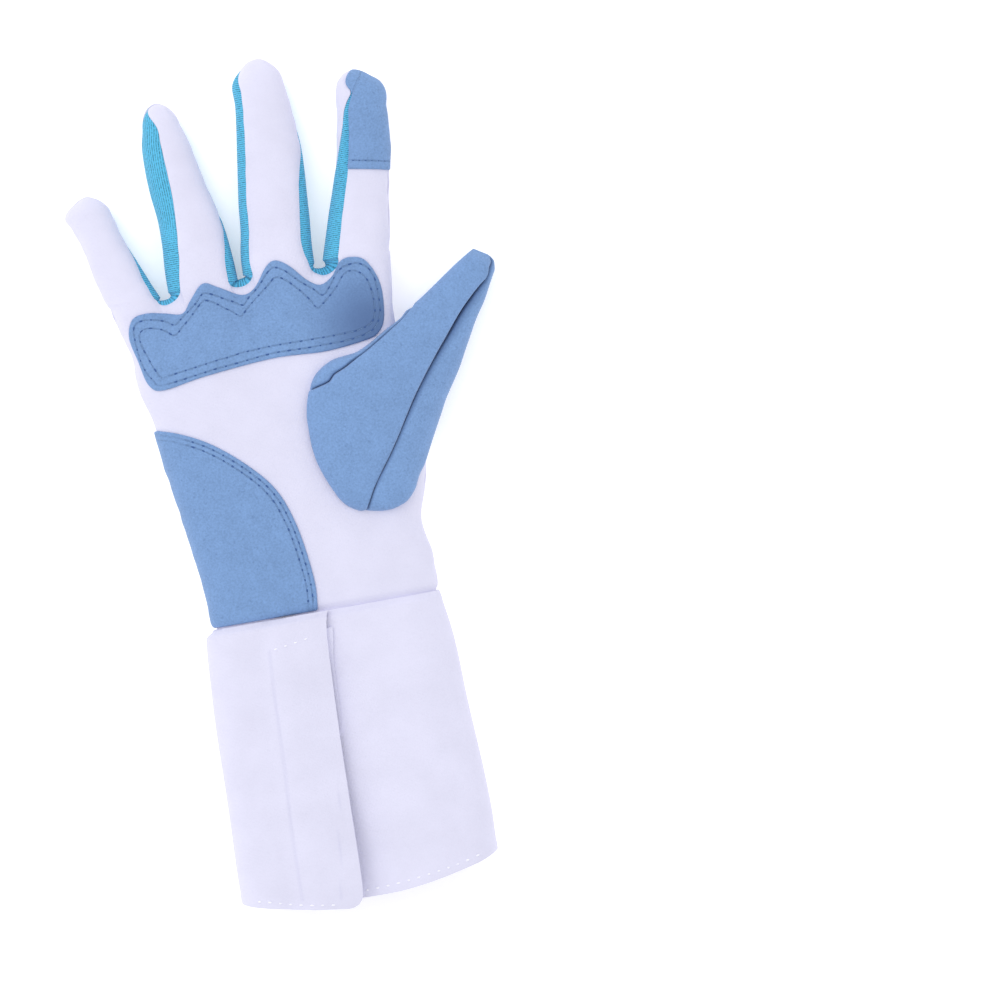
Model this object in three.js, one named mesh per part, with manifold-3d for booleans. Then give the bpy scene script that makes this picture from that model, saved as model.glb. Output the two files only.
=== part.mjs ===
// A fencing glove for the right hand, lying on its back on a table with the palm up.
// Millimetres. +X points to the thumb side, +Y to the fingertips and +Z up from the table.
// The cloth panels are thin shells that meet at their seams, so the hand goes in at the cuff.
import * as THREE from "three";
import { mergeVertices } from "three/addons/utils/BufferGeometryUtils.js";
import Module from "manifold-3d";

const { Manifold, Mesh: SolidMesh } = await loadSolids();

// Cloth and clearances
const CLOTH = 1.2; // white cotton and knit of the hand
const SUEDE = 0.9; // blue patches sewn on the palm
const THUMB_SUEDE = 1.4;
const CUFF_CLOTH = 1.6;
const FLAP_CLOTH = 2.6; // the closing flap is two plies round a stiffener
const SEAM_GAP = 0.3; // between pieces that are sewn together
const FRONT_LIFT = SEAM_GAP; // of the palm side over the back
const GUSSET_LIFT = SEAM_GAP / 2;

// Hand
const HAND_LENGTH = 138; // cuff seam to the root of the index finger
const PALM_THICKNESS = 23;
const PALM_SIDE = 9; // height of the side seams over the table
const WEB_GAP = 3.4; // opening between two finger roots
const WEB_DEPTH = 3.6; // how far the front seam dips at the web
const WEB_FRONT = 12; // height of the front seam at the web
const WEB_BACK = 4; // height of the back seam at the web
const WEB_BULGE = 2;
const WEB_INSET = 0.7; // share of the cloth's thickness by which a web's seam moves, inside
const LOBE_LENGTH = 34; // over which the knuckle lobes fade into the palm

// Cuff
const CUFF_LENGTH = 115;
const CUFF_WIDTH = 104;
const CUFF_THICKNESS = 33; // at the mouth
const CUFF_STEP = 0.7; // how far the cuff stands proud of the hand at its seam
const TUCK = 4; // length of hand cloth inside the cuff
const FLAP_EDGE = -2.5; // free edge of the flap, from the middle of the cuff
const UNDERLAP = 9; // how far the cuff runs on under the flap
const FLAP_LIFT = 0.8; // extra height of the flap over the cuff, above its clearance
const FLAP_CORNER = 6;
const FLAP_OVER = 16; // degrees round the section that the flap lies raised
const FLAP_SLOPE = 20; // degrees over which it comes down
const FLAP_ROOT = 205; // degrees round the section, where the flap is sewn on behind
const ROOT_CLEARANCE = 0.4; // degrees from there to each of the two pieces
const FLAP_THINNED = 0.1; // share of the cuff's length over which the flap reaches its thickness
const VALLEY_DEPTH = 4.5; // dip of the cuff beside the flap, at the mouth
const VALLEY_WIDTH = 11;

// Thumb
const THUMB_LENGTH = 105;
const THUMB_WIDTH = 55;
const THUMB_THICKNESS = 22;
const THUMB_START = [0.156, 0.377]; // shares of the knuckle width and the hand length
const THUMB_AXIS = 48.2; // degrees from +X
const THUMB_HEEL = 0.095; // rounded heel of the thumb piece, as a share of its length
const THUMB_END = 0.1; // share of its length over which the inside falls back from the tip

// Patches
const KNUCKLE_PATCH_WIDTH = 103;
const KNUCKLE_PATCH_HEIGHT = 44;
const HEEL_PATCH_WIDTH = 53;
const HEEL_PATCH_HEIGHT = 82;
const TIP_PATCH_LENGTH = 41;
const TIP_PATCH_SLANT = 0.19; // slope of its lower edge
const TIP_PATCH_LEFT = 0.3; // share of the finger's width where the patch begins

// Shape exponents of the sections: 2 is an ellipse, more is squarer
const FINGER_TOP = 2.2;
const FINGER_BACK = 3;
const PALM_TOP = 3;
const PALM_BACK = 4;
const CAP = 1.7; // finger ends
const THUMB_TOP = 2.2;
const THUMB_UNDER = 2.2;
const FLATTEN = 1.07; // how far the back would sink into the table if it were stiff
const FINGER_SIDE = 0.46; // height of a finger's widest line, as a share of its thickness
const CUFF_SIDE = 0.42; // the same for the cuff

// Mesh density
const FINGER_COLUMNS = 6;
const FINGER_STEPS = 6;
const CAP_STEPS = 3;
const TRIM_END = 0.97; // share of a finger's length beyond which its seam gap is no longer widened
const PALM_STEPS = 11;
const WEB_STEPS = 4;
const GUSSET_COLUMNS = 3;
const THUMB_STEPS = 11;
const CUFF_STEPS = 7;
const CUFF_COLUMNS = 24;
const FLAP_COLUMNS = 13;
const CUFF_BUNCH = 0.6; // how closely the columns crowd at the cuff's sides
const HEEL_STEPS = [0.999, 0.92, 0.7, 0.35]; // back from the thumb's first row, in heel lengths
const TIP_STEPS = [0.965, 0.99, 1]; // shares of the thumb's length

// Each finger's rows run from root to tip. at is a share of the length, left and right are the
// outline as shares of the width from the finger's axis, thick is a share of the thickness, and the
// other columns are the seams, in degrees round the section from the right-hand side.
const SEAM_COLUMNS = "at left right thick frontLeft backLeft frontRight backRight";
const FINGERS = [
  {
    name: "little",
    width: 21.8,
    length: 45,
    thickness: 13.5,
    lean: -12.1,
    root: 0.975,
    leftGusset: 0,
    rightGusset: 0.93,
    cap: 0.83,
    rows: named(SEAM_COLUMNS, [
      [0.0, -0.5, 0.5, 1.2, 180, 180, 35, -42],
      [0.12, -0.49, 0.39, 1.1, 180, 180, 23, -45],
      [0.28, -0.46, 0.35, 1.03, 180, 180, 21, -48],
      [0.45, -0.45, 0.32, 1.0, 180, 180, 12, -48],
      [0.61, -0.44, 0.3, 0.97, 180, 180, 5, -46],
      [0.72, -0.45, 0.31, 0.92, 180, 180, 0, -38],
      [0.83, -0.47, 0.3, 0.84, 180, 180, -4, -24],
      [1.0, -0.38, 0.38, 0.8, 180, 180, -6, -6],
    ]),
  },
  {
    name: "ring",
    width: 27.3,
    length: 75.8,
    thickness: 14.5,
    lean: -6.1,
    root: 0.985,
    leftGusset: 0.95,
    rightGusset: 0.93,
    cap: 0.884,
    rows: named(SEAM_COLUMNS, [
      [0.0, -0.5, 0.5, 1.22, 132, 215, 37, -40],
      [0.12, -0.475, 0.505, 1.14, 124, 212, 38, -42],
      [0.25, -0.425, 0.5, 1.07, 120, 208, 21, -45],
      [0.38, -0.39, 0.455, 1.02, 114, 204, 4, -48],
      [0.515, -0.408, 0.405, 1.0, 104, 200, -8, -50],
      [0.645, -0.393, 0.365, 0.99, 101, 198, -14, -50],
      [0.78, -0.35, 0.313, 0.95, 100, 194, -16, -44],
      [0.884, -0.26, 0.26, 0.86, 106, 186, -18, -30],
      [1.0, -0.26, 0.26, 0.8, 118, 118, -18, -18],
    ]),
  },
  {
    name: "middle",
    width: 29,
    length: 84.8,
    thickness: 15,
    lean: 5.3,
    root: 0.996,
    leftGusset: 0.94,
    rightGusset: 0.93,
    cap: 0.88,
    rows: named(SEAM_COLUMNS, [
      [0.0, -0.5, 0.5, 1.22, 141, 218, 32, -38],
      [0.09, -0.49, 0.477, 1.15, 142, 216, 42, -38],
      [0.205, -0.445, 0.48, 1.08, 144, 214, 42, -40],
      [0.325, -0.428, 0.493, 1.04, 144, 212, 38, -42],
      [0.44, -0.405, 0.498, 1.0, 143, 210, 30, -44],
      [0.56, -0.375, 0.49, 1.0, 145, 208, 8, -48],
      [0.68, -0.345, 0.452, 0.98, 146, 206, -6, -48],
      [0.8, -0.331, 0.39, 0.94, 147, 202, -12, -42],
      [0.88, -0.337, 0.34, 0.86, 146, 192, -14, -30],
      [1.0, -0.34, 0.34, 0.8, 160, 160, -16, -16],
    ]),
  },
  {
    name: "index",
    width: 27,
    length: 73,
    thickness: 15,
    lean: 11,
    root: 1,
    leftGusset: 0.85,
    rightGusset: 0,
    cap: 0.85,
    rows: named(SEAM_COLUMNS, [
      [0.0, -0.5, 0.5, 1.22, 128, 216, 0, 0],
      [0.095, -0.458, 0.52, 1.15, 130, 212, 0, 0],
      [0.235, -0.391, 0.527, 1.07, 129, 206, 0, 0],
      [0.37, -0.317, 0.534, 1.02, 128, 198, 0, 0],
      [0.505, -0.25, 0.533, 1.0, 125, 182, 0, 0],
      [0.645, -0.244, 0.515, 0.98, 123, 157, 0, 0],
      [0.78, -0.228, 0.5, 0.95, 122, 142, 0, 0],
      [0.85, -0.233, 0.489, 0.9, 120, 122, 0, 0],
      [1.0, -0.36, 0.36, 0.8, 123, 123, 0, 0],
    ]),
  },
];
const KNUCKLE_WIDTH = FINGERS.reduce((sum, f) => sum + f.width, 3 * WEB_GAP);

// Palm rows from the cuff seam to the finger roots: at is a share of the hand length, left and right
// are shares of the knuckle width and crown is a share of the palm thickness.
const PALM_ROWS = [
  { at: 0.0, left: -0.394, right: 0.405, crown: 0.93 },
  { at: 0.11, left: -0.399, right: 0.408, crown: 0.95 },
  { at: 0.21, left: -0.412, right: 0.387, crown: 0.97 },
  { at: 0.29, left: -0.425, right: 0.415, crown: 1.0 },
  { at: 0.377, left: -0.44, right: 0.436, crown: 1.0 },
  { at: 0.507, left: -0.46, right: 0.445, crown: 1.0 },
  { at: 0.616, left: -0.473, right: 0.44, crown: 0.99 },
  { at: 0.725, left: -0.503, right: 0.425, crown: 0.97 },
  { at: 0.812, left: -0.505, right: 0.416, crown: 0.93 },
  { at: 0.906, left: -0.536, right: 0.43, crown: 0.88 },
  { at: 1.0, left: -0.561, right: 0.442, crown: 0.84 },
];

// Cuff rows from its seam to its mouth, as shares of the cuff's length, width and thickness.
const CUFF_ROWS = [
  { at: 0.03, left: -0.466, right: 0.455, crown: 0.75 },
  { at: 0.1, left: -0.475, right: 0.463, crown: 0.78 },
  { at: 0.22, left: -0.481, right: 0.472, crown: 0.82 },
  { at: 0.45, left: -0.489, right: 0.489, crown: 0.9 },
  { at: 0.66, left: -0.496, right: 0.5, crown: 0.96 },
  { at: 0.88, left: -0.504, right: 0.499, crown: 1.0 },
  { at: 1.0, left: -0.5, right: 0.49, crown: 1.0 },
];

// The cuff's bottom edge round the section, in degrees, as a share of the cuff's length.
const CUFF_HEM = [
  { at: -200, reach: 0.95 },
  { at: -90, reach: 0.98 },
  { at: 0, reach: 0.92 },
  { at: 35, reach: 0.955 },
  { at: 75, reach: 1.0 },
  { at: 110, reach: 1.0 },
];
const FLAP_HEM = [
  { at: 90, reach: 1.04 },
  { at: 180, reach: 0.95 },
  { at: 210, reach: 0.95 },
];

// Thumb rows from heel to tip, as shares of the thumb's length, width and thickness: the outline from
// the axis, the heights of its two edges over the table, how far it swells up and down from the line
// between them, the long seam's place from the axis and the short seam's angle round the section.
const THUMB_COLUMNS = "at left right leftZ rightZ rise drop seam fold";
const THUMB_ROWS = named(THUMB_COLUMNS, [
  [0, -0.2545, 0.445, 1.08, 1, 0.27, 0.45, 0.25, 180],
  [0.095, -0.436, 0.482, 1.1, 0.87, 0.36, 0.45, 0.225, 180],
  [0.19, -0.545, 0.4545, 1.09, 0.68, 0.44, 0.45, 0.193, 180],
  [0.286, -0.556, 0.409, 1.05, 0.52, 0.5, 0.43, 0.165, 144],
  [0.381, -0.473, 0.364, 0.98, 0.45, 0.52, 0.42, 0.14, 144],
  [0.476, -0.336, 0.327, 0.88, 0.42, 0.49, 0.4, 0.12, 165],
  [0.619, -0.276, 0.276, 0.7, 0.39, 0.43, 0.37, 0.105, 178],
  [0.762, -0.209, 0.218, 0.54, 0.37, 0.37, 0.32, 0.118, 178],
  [0.905, -0.142, 0.164, 0.44, 0.35, 0.29, 0.24, 0.128, 178],
  [0.965, -0.115, 0.125, 0.41, 0.34, 0.23, 0.19, 0.089, 178],
  [1, -0.085, 0.095, 0.39, 0.34, 0.07, 0.07, 0.04, 178],
]);

// Patch outlines, counter-clockwise, as shares of each patch's width and height.
const KNUCKLE_OUTLINE = [
  { x: 0.0, y: 0.53 },
  { x: 0.025, y: 0.69 },
  { x: 0.08, y: 0.727 },
  { x: 0.15, y: 0.705 },
  { x: 0.22, y: 0.67 },
  { x: 0.26, y: 0.77 },
  { x: 0.32, y: 0.905 },
  { x: 0.38, y: 0.845 },
  { x: 0.465, y: 0.745 },
  { x: 0.52, y: 0.8 },
  { x: 0.57, y: 0.95 },
  { x: 0.61, y: 1.0 },
  { x: 0.66, y: 0.935 },
  { x: 0.72, y: 0.78 },
  { x: 0.77, y: 0.712 },
  { x: 0.82, y: 0.775 },
  { x: 0.85, y: 0.875 },
  { x: 0.9, y: 0.91 },
  { x: 0.96, y: 0.85 },
  { x: 1.0, y: 0.62 },
  { x: 0.993, y: 0.33 },
  { x: 0.96, y: 0.19 },
  { x: 0.9, y: 0.14 },
  { x: 0.74, y: 0.105 },
  { x: 0.54, y: 0.125 },
  { x: 0.27, y: 0.07 },
  { x: 0.1, y: 0.01 },
  { x: 0.045, y: 0.08 },
  { x: 0.02, y: 0.3 },
].reverse();
const KNUCKLE_PLACE = [-0.503, 0.703]; // its left and bottom, in knuckle widths and hand lengths

const HEEL_OUTLINE = [
  { x: 0.985, y: 0.004 },
  { x: 1.0, y: 0.12 },
  { x: 0.985, y: 0.25 },
  { x: 0.95, y: 0.4 },
  { x: 0.9, y: 0.52 },
  { x: 0.84, y: 0.61 },
  { x: 0.74, y: 0.7 },
  { x: 0.55, y: 0.82 },
  { x: 0.36, y: 0.91 },
  { x: 0.17, y: 0.97 },
  { x: 0.02, y: 1.0 },
];
const HEEL_CORNERS = [
  { x: -0.2, y: 1.0 },
  { x: -0.2, y: 0.004 },
];
const HEEL_PLACE = [-0.472, 0.0];

// Rows of numbers as objects that name each column.
function named(columns, rows) {
  return rows.map((row) => Object.fromEntries(columns.split(" ").map((name, i) => [name, row[i]])));
}

async function loadSolids() {
  const library = await Module();
  library.setup();
  return library;
}

const radians = THREE.MathUtils.degToRad;
const DEGREE = THREE.MathUtils.RAD2DEG;
const mix = THREE.MathUtils.lerp;
const smooth = (share) => THREE.MathUtils.smoothstep(share, 0, 1);

// The value of a table's column at a share along it, on a smooth curve through its rows.
function along(rows, column, at) {
  const last = rows.length - 1;
  if (at <= rows[0].at) return rows[0][column];
  if (at >= rows[last].at) return rows[last][column];
  const i = rows.findIndex((row) => row.at > at) - 1;
  const slope = (j) => {
    const [before, after] = [rows[Math.max(j - 1, 0)], rows[Math.min(j + 1, last)]];
    return (after[column] - before[column]) / (after.at - before.at);
  };
  const step = rows[i + 1].at - rows[i].at;
  const u = (at - rows[i].at) / step;
  const [a, b] = [rows[i][column], rows[i + 1][column]];
  const cubic = 2 * u ** 3 - 3 * u ** 2;
  return (
    a * (cubic + 1) -
    b * cubic +
    step * (slope(i) * (u ** 3 - 2 * u ** 2 + u) + slope(i + 1) * (u ** 3 - u ** 2))
  );
}

const crest = (share, exponent) =>
  Math.max(0, 1 - Math.min(1, Math.abs(share)) ** exponent) ** (1 / exponent);

// A point on a section: a squared ellipse with its own swell above and below its side line.
function ring(section, degrees, inset) {
  const { middle, half, side, rise, drop, top, back } = section;
  const across = Math.cos(radians(degrees));
  const upper = Math.sin(radians(degrees)) >= 0;
  const reach = Math.max(half - inset, 0) * across;
  if (upper) return [middle + reach, side + Math.max(rise - inset, 0) * crest(across, top)];
  const sunk = side - Math.max(drop * FLATTEN - inset, 0) * crest(across, back);
  return [middle + reach, Math.max(sunk, Math.min(inset, side))];
}

// Fingers

function rootLeft(index) {
  const start = PALM_ROWS.at(-1).left * KNUCKLE_WIDTH;
  return FINGERS.slice(0, index).reduce((x, f) => x + f.width + WEB_GAP, start);
}

// The finger's section at a share of its length. Inside the cap the section shrinks on a rounded
// end, and an inset surface ends sooner by the inset.
function fingerSection(index, share, inset) {
  const f = FINGERS[index];
  const table = (column) => along(f.rows, column, share);
  const axis = rootLeft(index) + f.width / 2 + f.lean * share;
  const [left, right] = [table("left") * f.width, table("right") * f.width];
  const capShare = Math.max(0, (share - f.cap) / (1 - f.cap));
  const shrink = crest(capShare, CAP);
  const capLength = (1 - f.cap) * f.length;
  const run = Math.min(share, f.cap) * f.length + capShare * (capLength - inset);
  const height = table("thick") * f.thickness;
  return {
    y: f.root * HAND_LENGTH + run,
    middle: axis + (left + right) / 2,
    half: ((right - left) / 2 - inset) * shrink + inset,
    side: height * FINGER_SIDE,
    rise: (height * (1 - FINGER_SIDE) - inset) * shrink + inset,
    drop: (height * FINGER_SIDE - inset) * shrink + inset,
    top: FINGER_TOP,
    back: FINGER_BACK,
  };
}

function fingerPoint(index, share, degrees, inset) {
  const section = fingerSection(index, share, inset);
  const [x, z] = ring(section, degrees, inset);
  return new THREE.Vector3(x, section.y, z);
}

function fingerShares(index) {
  const { cap } = FINGERS[index];
  const straight = Array.from({ length: FINGER_STEPS }, (_, i) => (i / FINGER_STEPS) * cap);
  const end = Array.from(
    { length: CAP_STEPS + 1 },
    (_, i) => cap + (1 - cap) * Math.sin(((i / CAP_STEPS) * Math.PI) / 2),
  );
  return [...straight, ...end];
}

const seamAngle = (index, share, front, side) =>
  along(FINGERS[index].rows, (front ? "front" : "back") + side, share);

// The angles a panel's cloth spans on a finger, from its left seam to its right one, less the gap.
function panelAngles(index, share, front) {
  const widest = fingerSection(index, Math.min(share, TRIM_END), 0).half;
  const clear = (SEAM_GAP / 2 / widest) * DEGREE;
  const trim = front ? clear : -clear;
  return [
    seamAngle(index, share, front, "Left") - trim,
    seamAngle(index, share, front, "Right") + trim,
  ];
}

// The web between two fingers, from the right of the first to the left of the next: the front or
// back seam dips towards the palm, and its inset side lies deeper.
function webSeam(index, share, front, inset) {
  const from = fingerPoint(index, 0, panelAngles(index, 0, front)[1], inset);
  const to = fingerPoint(index + 1, 0, panelAngles(index + 1, 0, front)[0], inset);
  const swing = Math.sin(Math.PI * share);
  const point = from.lerp(to, (1 - Math.cos(Math.PI * share)) / 2);
  point.y -= (WEB_DEPTH + inset * WEB_INSET) * swing;
  const target = front ? WEB_FRONT - inset * WEB_INSET : WEB_BACK + inset * WEB_INSET;
  point.z = mix(point.z, target, swing);
  return point;
}

// Palm

const palmEdge = (y, side) => along(PALM_ROWS, side, y / HAND_LENGTH) * KNUCKLE_WIDTH;
const palmCrown = (y) => along(PALM_ROWS, "crown", y / HAND_LENGTH) * PALM_THICKNESS;

// The hand's cloth is drawn in where it is tucked into the cuff.
function palmPoint(across, y, front, inset) {
  const clear = CUFF_CLOTH + SEAM_GAP + (front ? FRONT_LIFT : 0);
  const tuck = clear * (1 - smooth(y / TUCK));
  const depth = inset + Math.max(tuck - CUFF_STEP, 0);
  const [left, right] = [palmEdge(y, "left") + depth, palmEdge(y, "right") - depth];
  const rise = front ? palmCrown(y) - PALM_SIDE : -PALM_SIDE * FLATTEN;
  const swell = crest(2 * across - 1, front ? PALM_TOP : PALM_BACK);
  const z = PALM_SIDE + (front ? rise - depth : rise + inset + tuck) * swell;
  return new THREE.Vector3(mix(left, right, across), y, Math.max(z, inset + tuck));
}

// One side of the hand as a grid: palm rows up to the finger roots, then four fingers.
function handSheet(front) {
  const columns = [];
  FINGERS.forEach((f, index) => {
    for (let c = 0; c <= FINGER_COLUMNS; c++) columns.push({ index, share: c / FINGER_COLUMNS });
    if (index + 1 < FINGERS.length)
      for (let w = 1; w < WEB_STEPS; w++) columns.push({ index, web: w / WEB_STEPS });
  });
  const angleAt = (index, at, share) => {
    const [left, right] = panelAngles(index, at, front);
    return front ? mix(left, right, share) : mix(left, right + 360, share);
  };
  const rootPoint = (column, inset) =>
    column.web
      ? webSeam(column.index, column.web, front, inset)
      : fingerPoint(column.index, 0, angleAt(column.index, 0, column.share), inset);
  const points = (inset) => {
    const roots = columns.map((column) => rootPoint(column, inset));
    const levels = columns.map(({ index, web = 0 }) =>
      mix(FINGERS[index].root, FINGERS[Math.min(index + 1, 3)].root, web) * HAND_LENGTH,
    );
    const [first, last] = [roots[0].x, roots.at(-1).x];
    const list = [];
    for (let row = 0; row < PALM_STEPS; row++) {
      roots.forEach((root, k) => {
        const level = row < 2 ? (row - 1) * TUCK : mix(TUCK, levels[k], (row - 2) / (PALM_STEPS - 2));
        const y = level + (root.y - levels[k]) * (Math.max(level, 0) / levels[k]) ** 4;
        const point = palmPoint((root.x - first) / (last - first), y, front, inset);
        const lobe = smooth(1 - (levels[k] - y) / LOBE_LENGTH);
        point.z = mix(point.z, root.z, lobe);
        list.push(point);
      });
    }
    list.push(...roots);
    FINGERS.forEach((f, index) => {
      for (const share of fingerShares(index).slice(1, -1))
        for (let c = 0; c <= FINGER_COLUMNS; c++)
          list.push(fingerPoint(index, share, angleAt(index, share, c / FINGER_COLUMNS), inset));
      list.push(fingerPoint(index, 1, 90, inset));
    });
    return list;
  };
  const faces = [];
  const addRow = (below, above, count) => {
    for (let k = 0; k < count; k++)
      faces.push([below + k, below + k + 1, above + k + 1, above + k]);
  };
  for (let row = 0; row < PALM_STEPS; row++)
    addRow(row * columns.length, (row + 1) * columns.length, columns.length - 1);
  let next = (PALM_STEPS + 1) * columns.length;
  FINGERS.forEach((f, index) => {
    let below = PALM_STEPS * columns.length + index * (FINGER_COLUMNS + WEB_STEPS);
    for (let row = 2; row < fingerShares(index).length; row++) {
      addRow(below, next, FINGER_COLUMNS);
      below = next;
      next += FINGER_COLUMNS + 1;
    }
    for (let c = 0; c < FINGER_COLUMNS; c++) faces.push([below + c, below + c + 1, next]);
    next += 1;
  });
  return { points, faces: front ? faces : reversed(faces) };
}

// The knit gusset between two fingers: down the side of the first, round the web and up the next.
function gussetSheet(index) {
  const onFinger = (finger, side) =>
    fingerShares(finger)
      .filter((share) => share < FINGERS[finger][side ? "leftGusset" : "rightGusset"])
      .map((share) => ({ finger, side, share }));
  const web = Array.from({ length: WEB_STEPS - 1 }, (_, i) => ({ web: (i + 1) / WEB_STEPS }));
  const stations = [...onFinger(index, 0).reverse(), ...web, ...onFinger(index + 1, 1)];
  const across = Array.from({ length: GUSSET_COLUMNS + 1 }, (_, g) => g / GUSSET_COLUMNS);
  const clear = (g, from, to) => {
    const trim = Math.min(SEAM_GAP / from.distanceTo(to), 0.3);
    return mix(trim, 1 - trim, g);
  };
  const onSide = ({ finger, side, share }, g, inset) => {
    const hand = side ? "Left" : "Right";
    const [front, back] = [true, false].map((f) => seamAngle(finger, share, f, hand));
    const ends = [front, back].map((angle) => fingerPoint(finger, share, angle, 0));
    return fingerPoint(finger, share, mix(front, back, clear(g, ...ends)), inset);
  };
  const onWeb = (share, g, inset) => {
    const seam = (at) => [true, false].map((front) => webSeam(index, at, front, inset));
    const [front, back] = seam(share);
    const cut = clear(g, front, back);
    const bow = [0, 1].map((side) => {
      const chord = seam(side);
      const root = onSide({ finger: index + side, side, share: 0 }, g, inset);
      return root.x - mix(chord[0].x, chord[1].x, cut);
    });
    const point = front.lerp(back, cut);
    point.x += mix(bow[0], bow[1], share) * Math.abs(Math.cos(Math.PI * share));
    point.y += WEB_BULGE * 4 * g * (1 - g) * Math.sin(Math.PI * share);
    return point;
  };
  const points = (inset) =>
    stations.flatMap((station) =>
      across.map((g) =>
        station.web ? onWeb(station.web, g, inset) : onSide(station, g, inset),
      ),
    );
  return { points, faces: reversed(gridFaces(stations.length, across.length)) };
}

function gridFaces(rows, columns) {
  const faces = [];
  for (let r = 0; r + 1 < rows; r++)
    for (let c = 0; c + 1 < columns; c++) {
      const a = r * columns + c;
      faces.push([a, a + 1, a + columns + 1, a + columns]);
    }
  return faces;
}

// The same faces turned over, each keeping its diagonal.
const reversed = (faces) => faces.map(([first, ...rest]) => [first, ...rest.reverse()]);

// A closed wall between an outer and an inner copy of one sheet.
function wall(outer, inner, faces) {
  const count = outer.length;
  const all = [...faces, ...reversed(faces).map((face) => face.map((i) => i + count))];
  const edges = new Map();
  for (const face of faces)
    face.forEach((a, i) => {
      const b = face[(i + 1) % face.length];
      edges.set(`${a} ${b}`, [a, b]);
    });
  for (const [a, b] of edges.values())
    if (!edges.has(`${b} ${a}`)) all.push([b, a, a + count, b + count]);
  const index = all.flatMap(([a, b, c, d]) => (d === undefined ? [a, b, c] : [a, b, c, a, c, d]));
  const geometry = new THREE.BufferGeometry().setFromPoints([...outer, ...inner]);
  return geometry.setIndex(index);
}

const sheetWall = (sheet, outerInset, innerInset) =>
  wall(sheet.points(outerInset), sheet.points(innerInset), sheet.faces);

// Cuff

// The cuff's section at a share of its length, on the table. At its seam it is the hand's outline.
function cuffSection(share) {
  const wrist = { left: palmEdge(0, "left"), right: palmEdge(0, "right"), crown: palmCrown(0) };
  const fit = smooth(share / CUFF_ROWS[0].at);
  const table = (column, size) => along(CUFF_ROWS, column, share) * size;
  const left = mix(wrist.left - CUFF_STEP, table("left", CUFF_WIDTH), fit);
  const right = mix(wrist.right + CUFF_STEP, table("right", CUFF_WIDTH), fit);
  const crown = mix(wrist.crown + CUFF_STEP, table("crown", CUFF_THICKNESS), fit);
  const side = mix(PALM_SIDE, crown * CUFF_SIDE, smooth(share));
  return {
    middle: (left + right) / 2,
    half: (right - left) / 2,
    side,
    rise: crown - side,
    drop: side,
    top: PALM_TOP,
    back: PALM_BACK,
  };
}

function cuffPoint(share, reach, degrees, inset, valley) {
  const section = cuffSection(share * reach);
  const [x, z] = ring(section, degrees, inset);
  const dip = valley * share * VALLEY_DEPTH * Math.exp(-(((x - FLAP_EDGE) / VALLEY_WIDTH) ** 2));
  const upper = Math.sin(radians(degrees)) > 0;
  return new THREE.Vector3(x, -share * reach * CUFF_LENGTH, upper ? z - dip : z);
}

// Steps from one angle round the section to another, more closely spaced at its two sides.
function bunched(from, to, steps) {
  const bend = (degrees, power) => {
    const across = Math.cos(radians(degrees));
    const angle = Math.acos(Math.sign(across) * Math.abs(across) ** power) * DEGREE;
    const turn = Math.floor(degrees / 180);
    return turn % 2 ? (turn + 1) * 180 - angle : turn * 180 + angle;
  };
  const [start, end] = [bend(from, 1 / CUFF_BUNCH), bend(to, 1 / CUFF_BUNCH)];
  return Array.from({ length: steps + 1 }, (_, i) => bend(mix(start, end, i / steps), CUFF_BUNCH));
}

const angleOf = (x, section) => Math.acos((x - section.middle) / section.half) / radians(1);

function cuffBody() {
  const points = (inset) => {
    const list = [];
    for (let row = 0; row <= CUFF_STEPS; row++) {
      const share = row / CUFF_STEPS;
      const start = angleOf(FLAP_EDGE - UNDERLAP, cuffSection(share));
      for (const degrees of bunched(start, FLAP_ROOT - 360 + ROOT_CLEARANCE, CUFF_COLUMNS))
        list.push(cuffPoint(share, along(CUFF_HEM, "reach", degrees), degrees, inset, 1));
    }
    return list;
  };
  return { points, faces: reversed(gridFaces(CUFF_STEPS + 1, CUFF_COLUMNS + 1)) };
}

// The flap's free edge lies over the cuff, and its lower corner is rounded.
function cuffFlap() {
  const corner = 1 - FLAP_CORNER / CUFF_LENGTH;
  const clear = CUFF_CLOTH + SEAM_GAP + FLAP_LIFT;
  const shares = Array.from({ length: CUFF_STEPS }, (_, i) => (i / CUFF_STEPS) * corner);
  shares.push(corner, mix(corner, 1, 0.6), 1);
  const points = (inset) =>
    shares.flatMap((share) => {
      const round = 1 - crest(Math.max(0, (share - corner) / (1 - corner)), 2);
      const start = angleOf(FLAP_EDGE - round * FLAP_CORNER, cuffSection(share));
      return bunched(start, FLAP_ROOT - ROOT_CLEARANCE, FLAP_COLUMNS).map((degrees) => {
        const over = smooth((start + FLAP_OVER - degrees) / FLAP_SLOPE + 1);
        const reach = along(FLAP_HEM, "reach", degrees);
        const depth = inset * mix(CUFF_CLOTH / FLAP_CLOTH, 1, smooth(share / FLAP_THINNED));
        return cuffPoint(share, reach, degrees, depth - over * clear, 0);
      });
    });
  return { points, faces: gridFaces(shares.length, FLAP_COLUMNS + 1) };
}

// Thumb

function thumbFrame() {
  const angle = radians(THUMB_AXIS);
  return {
    start: new THREE.Vector2(THUMB_START[0] * KNUCKLE_WIDTH, THUMB_START[1] * HAND_LENGTH),
    ahead: new THREE.Vector2(Math.cos(angle), Math.sin(angle)),
    right: new THREE.Vector2(Math.sin(angle), -Math.cos(angle)),
  };
}

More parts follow.
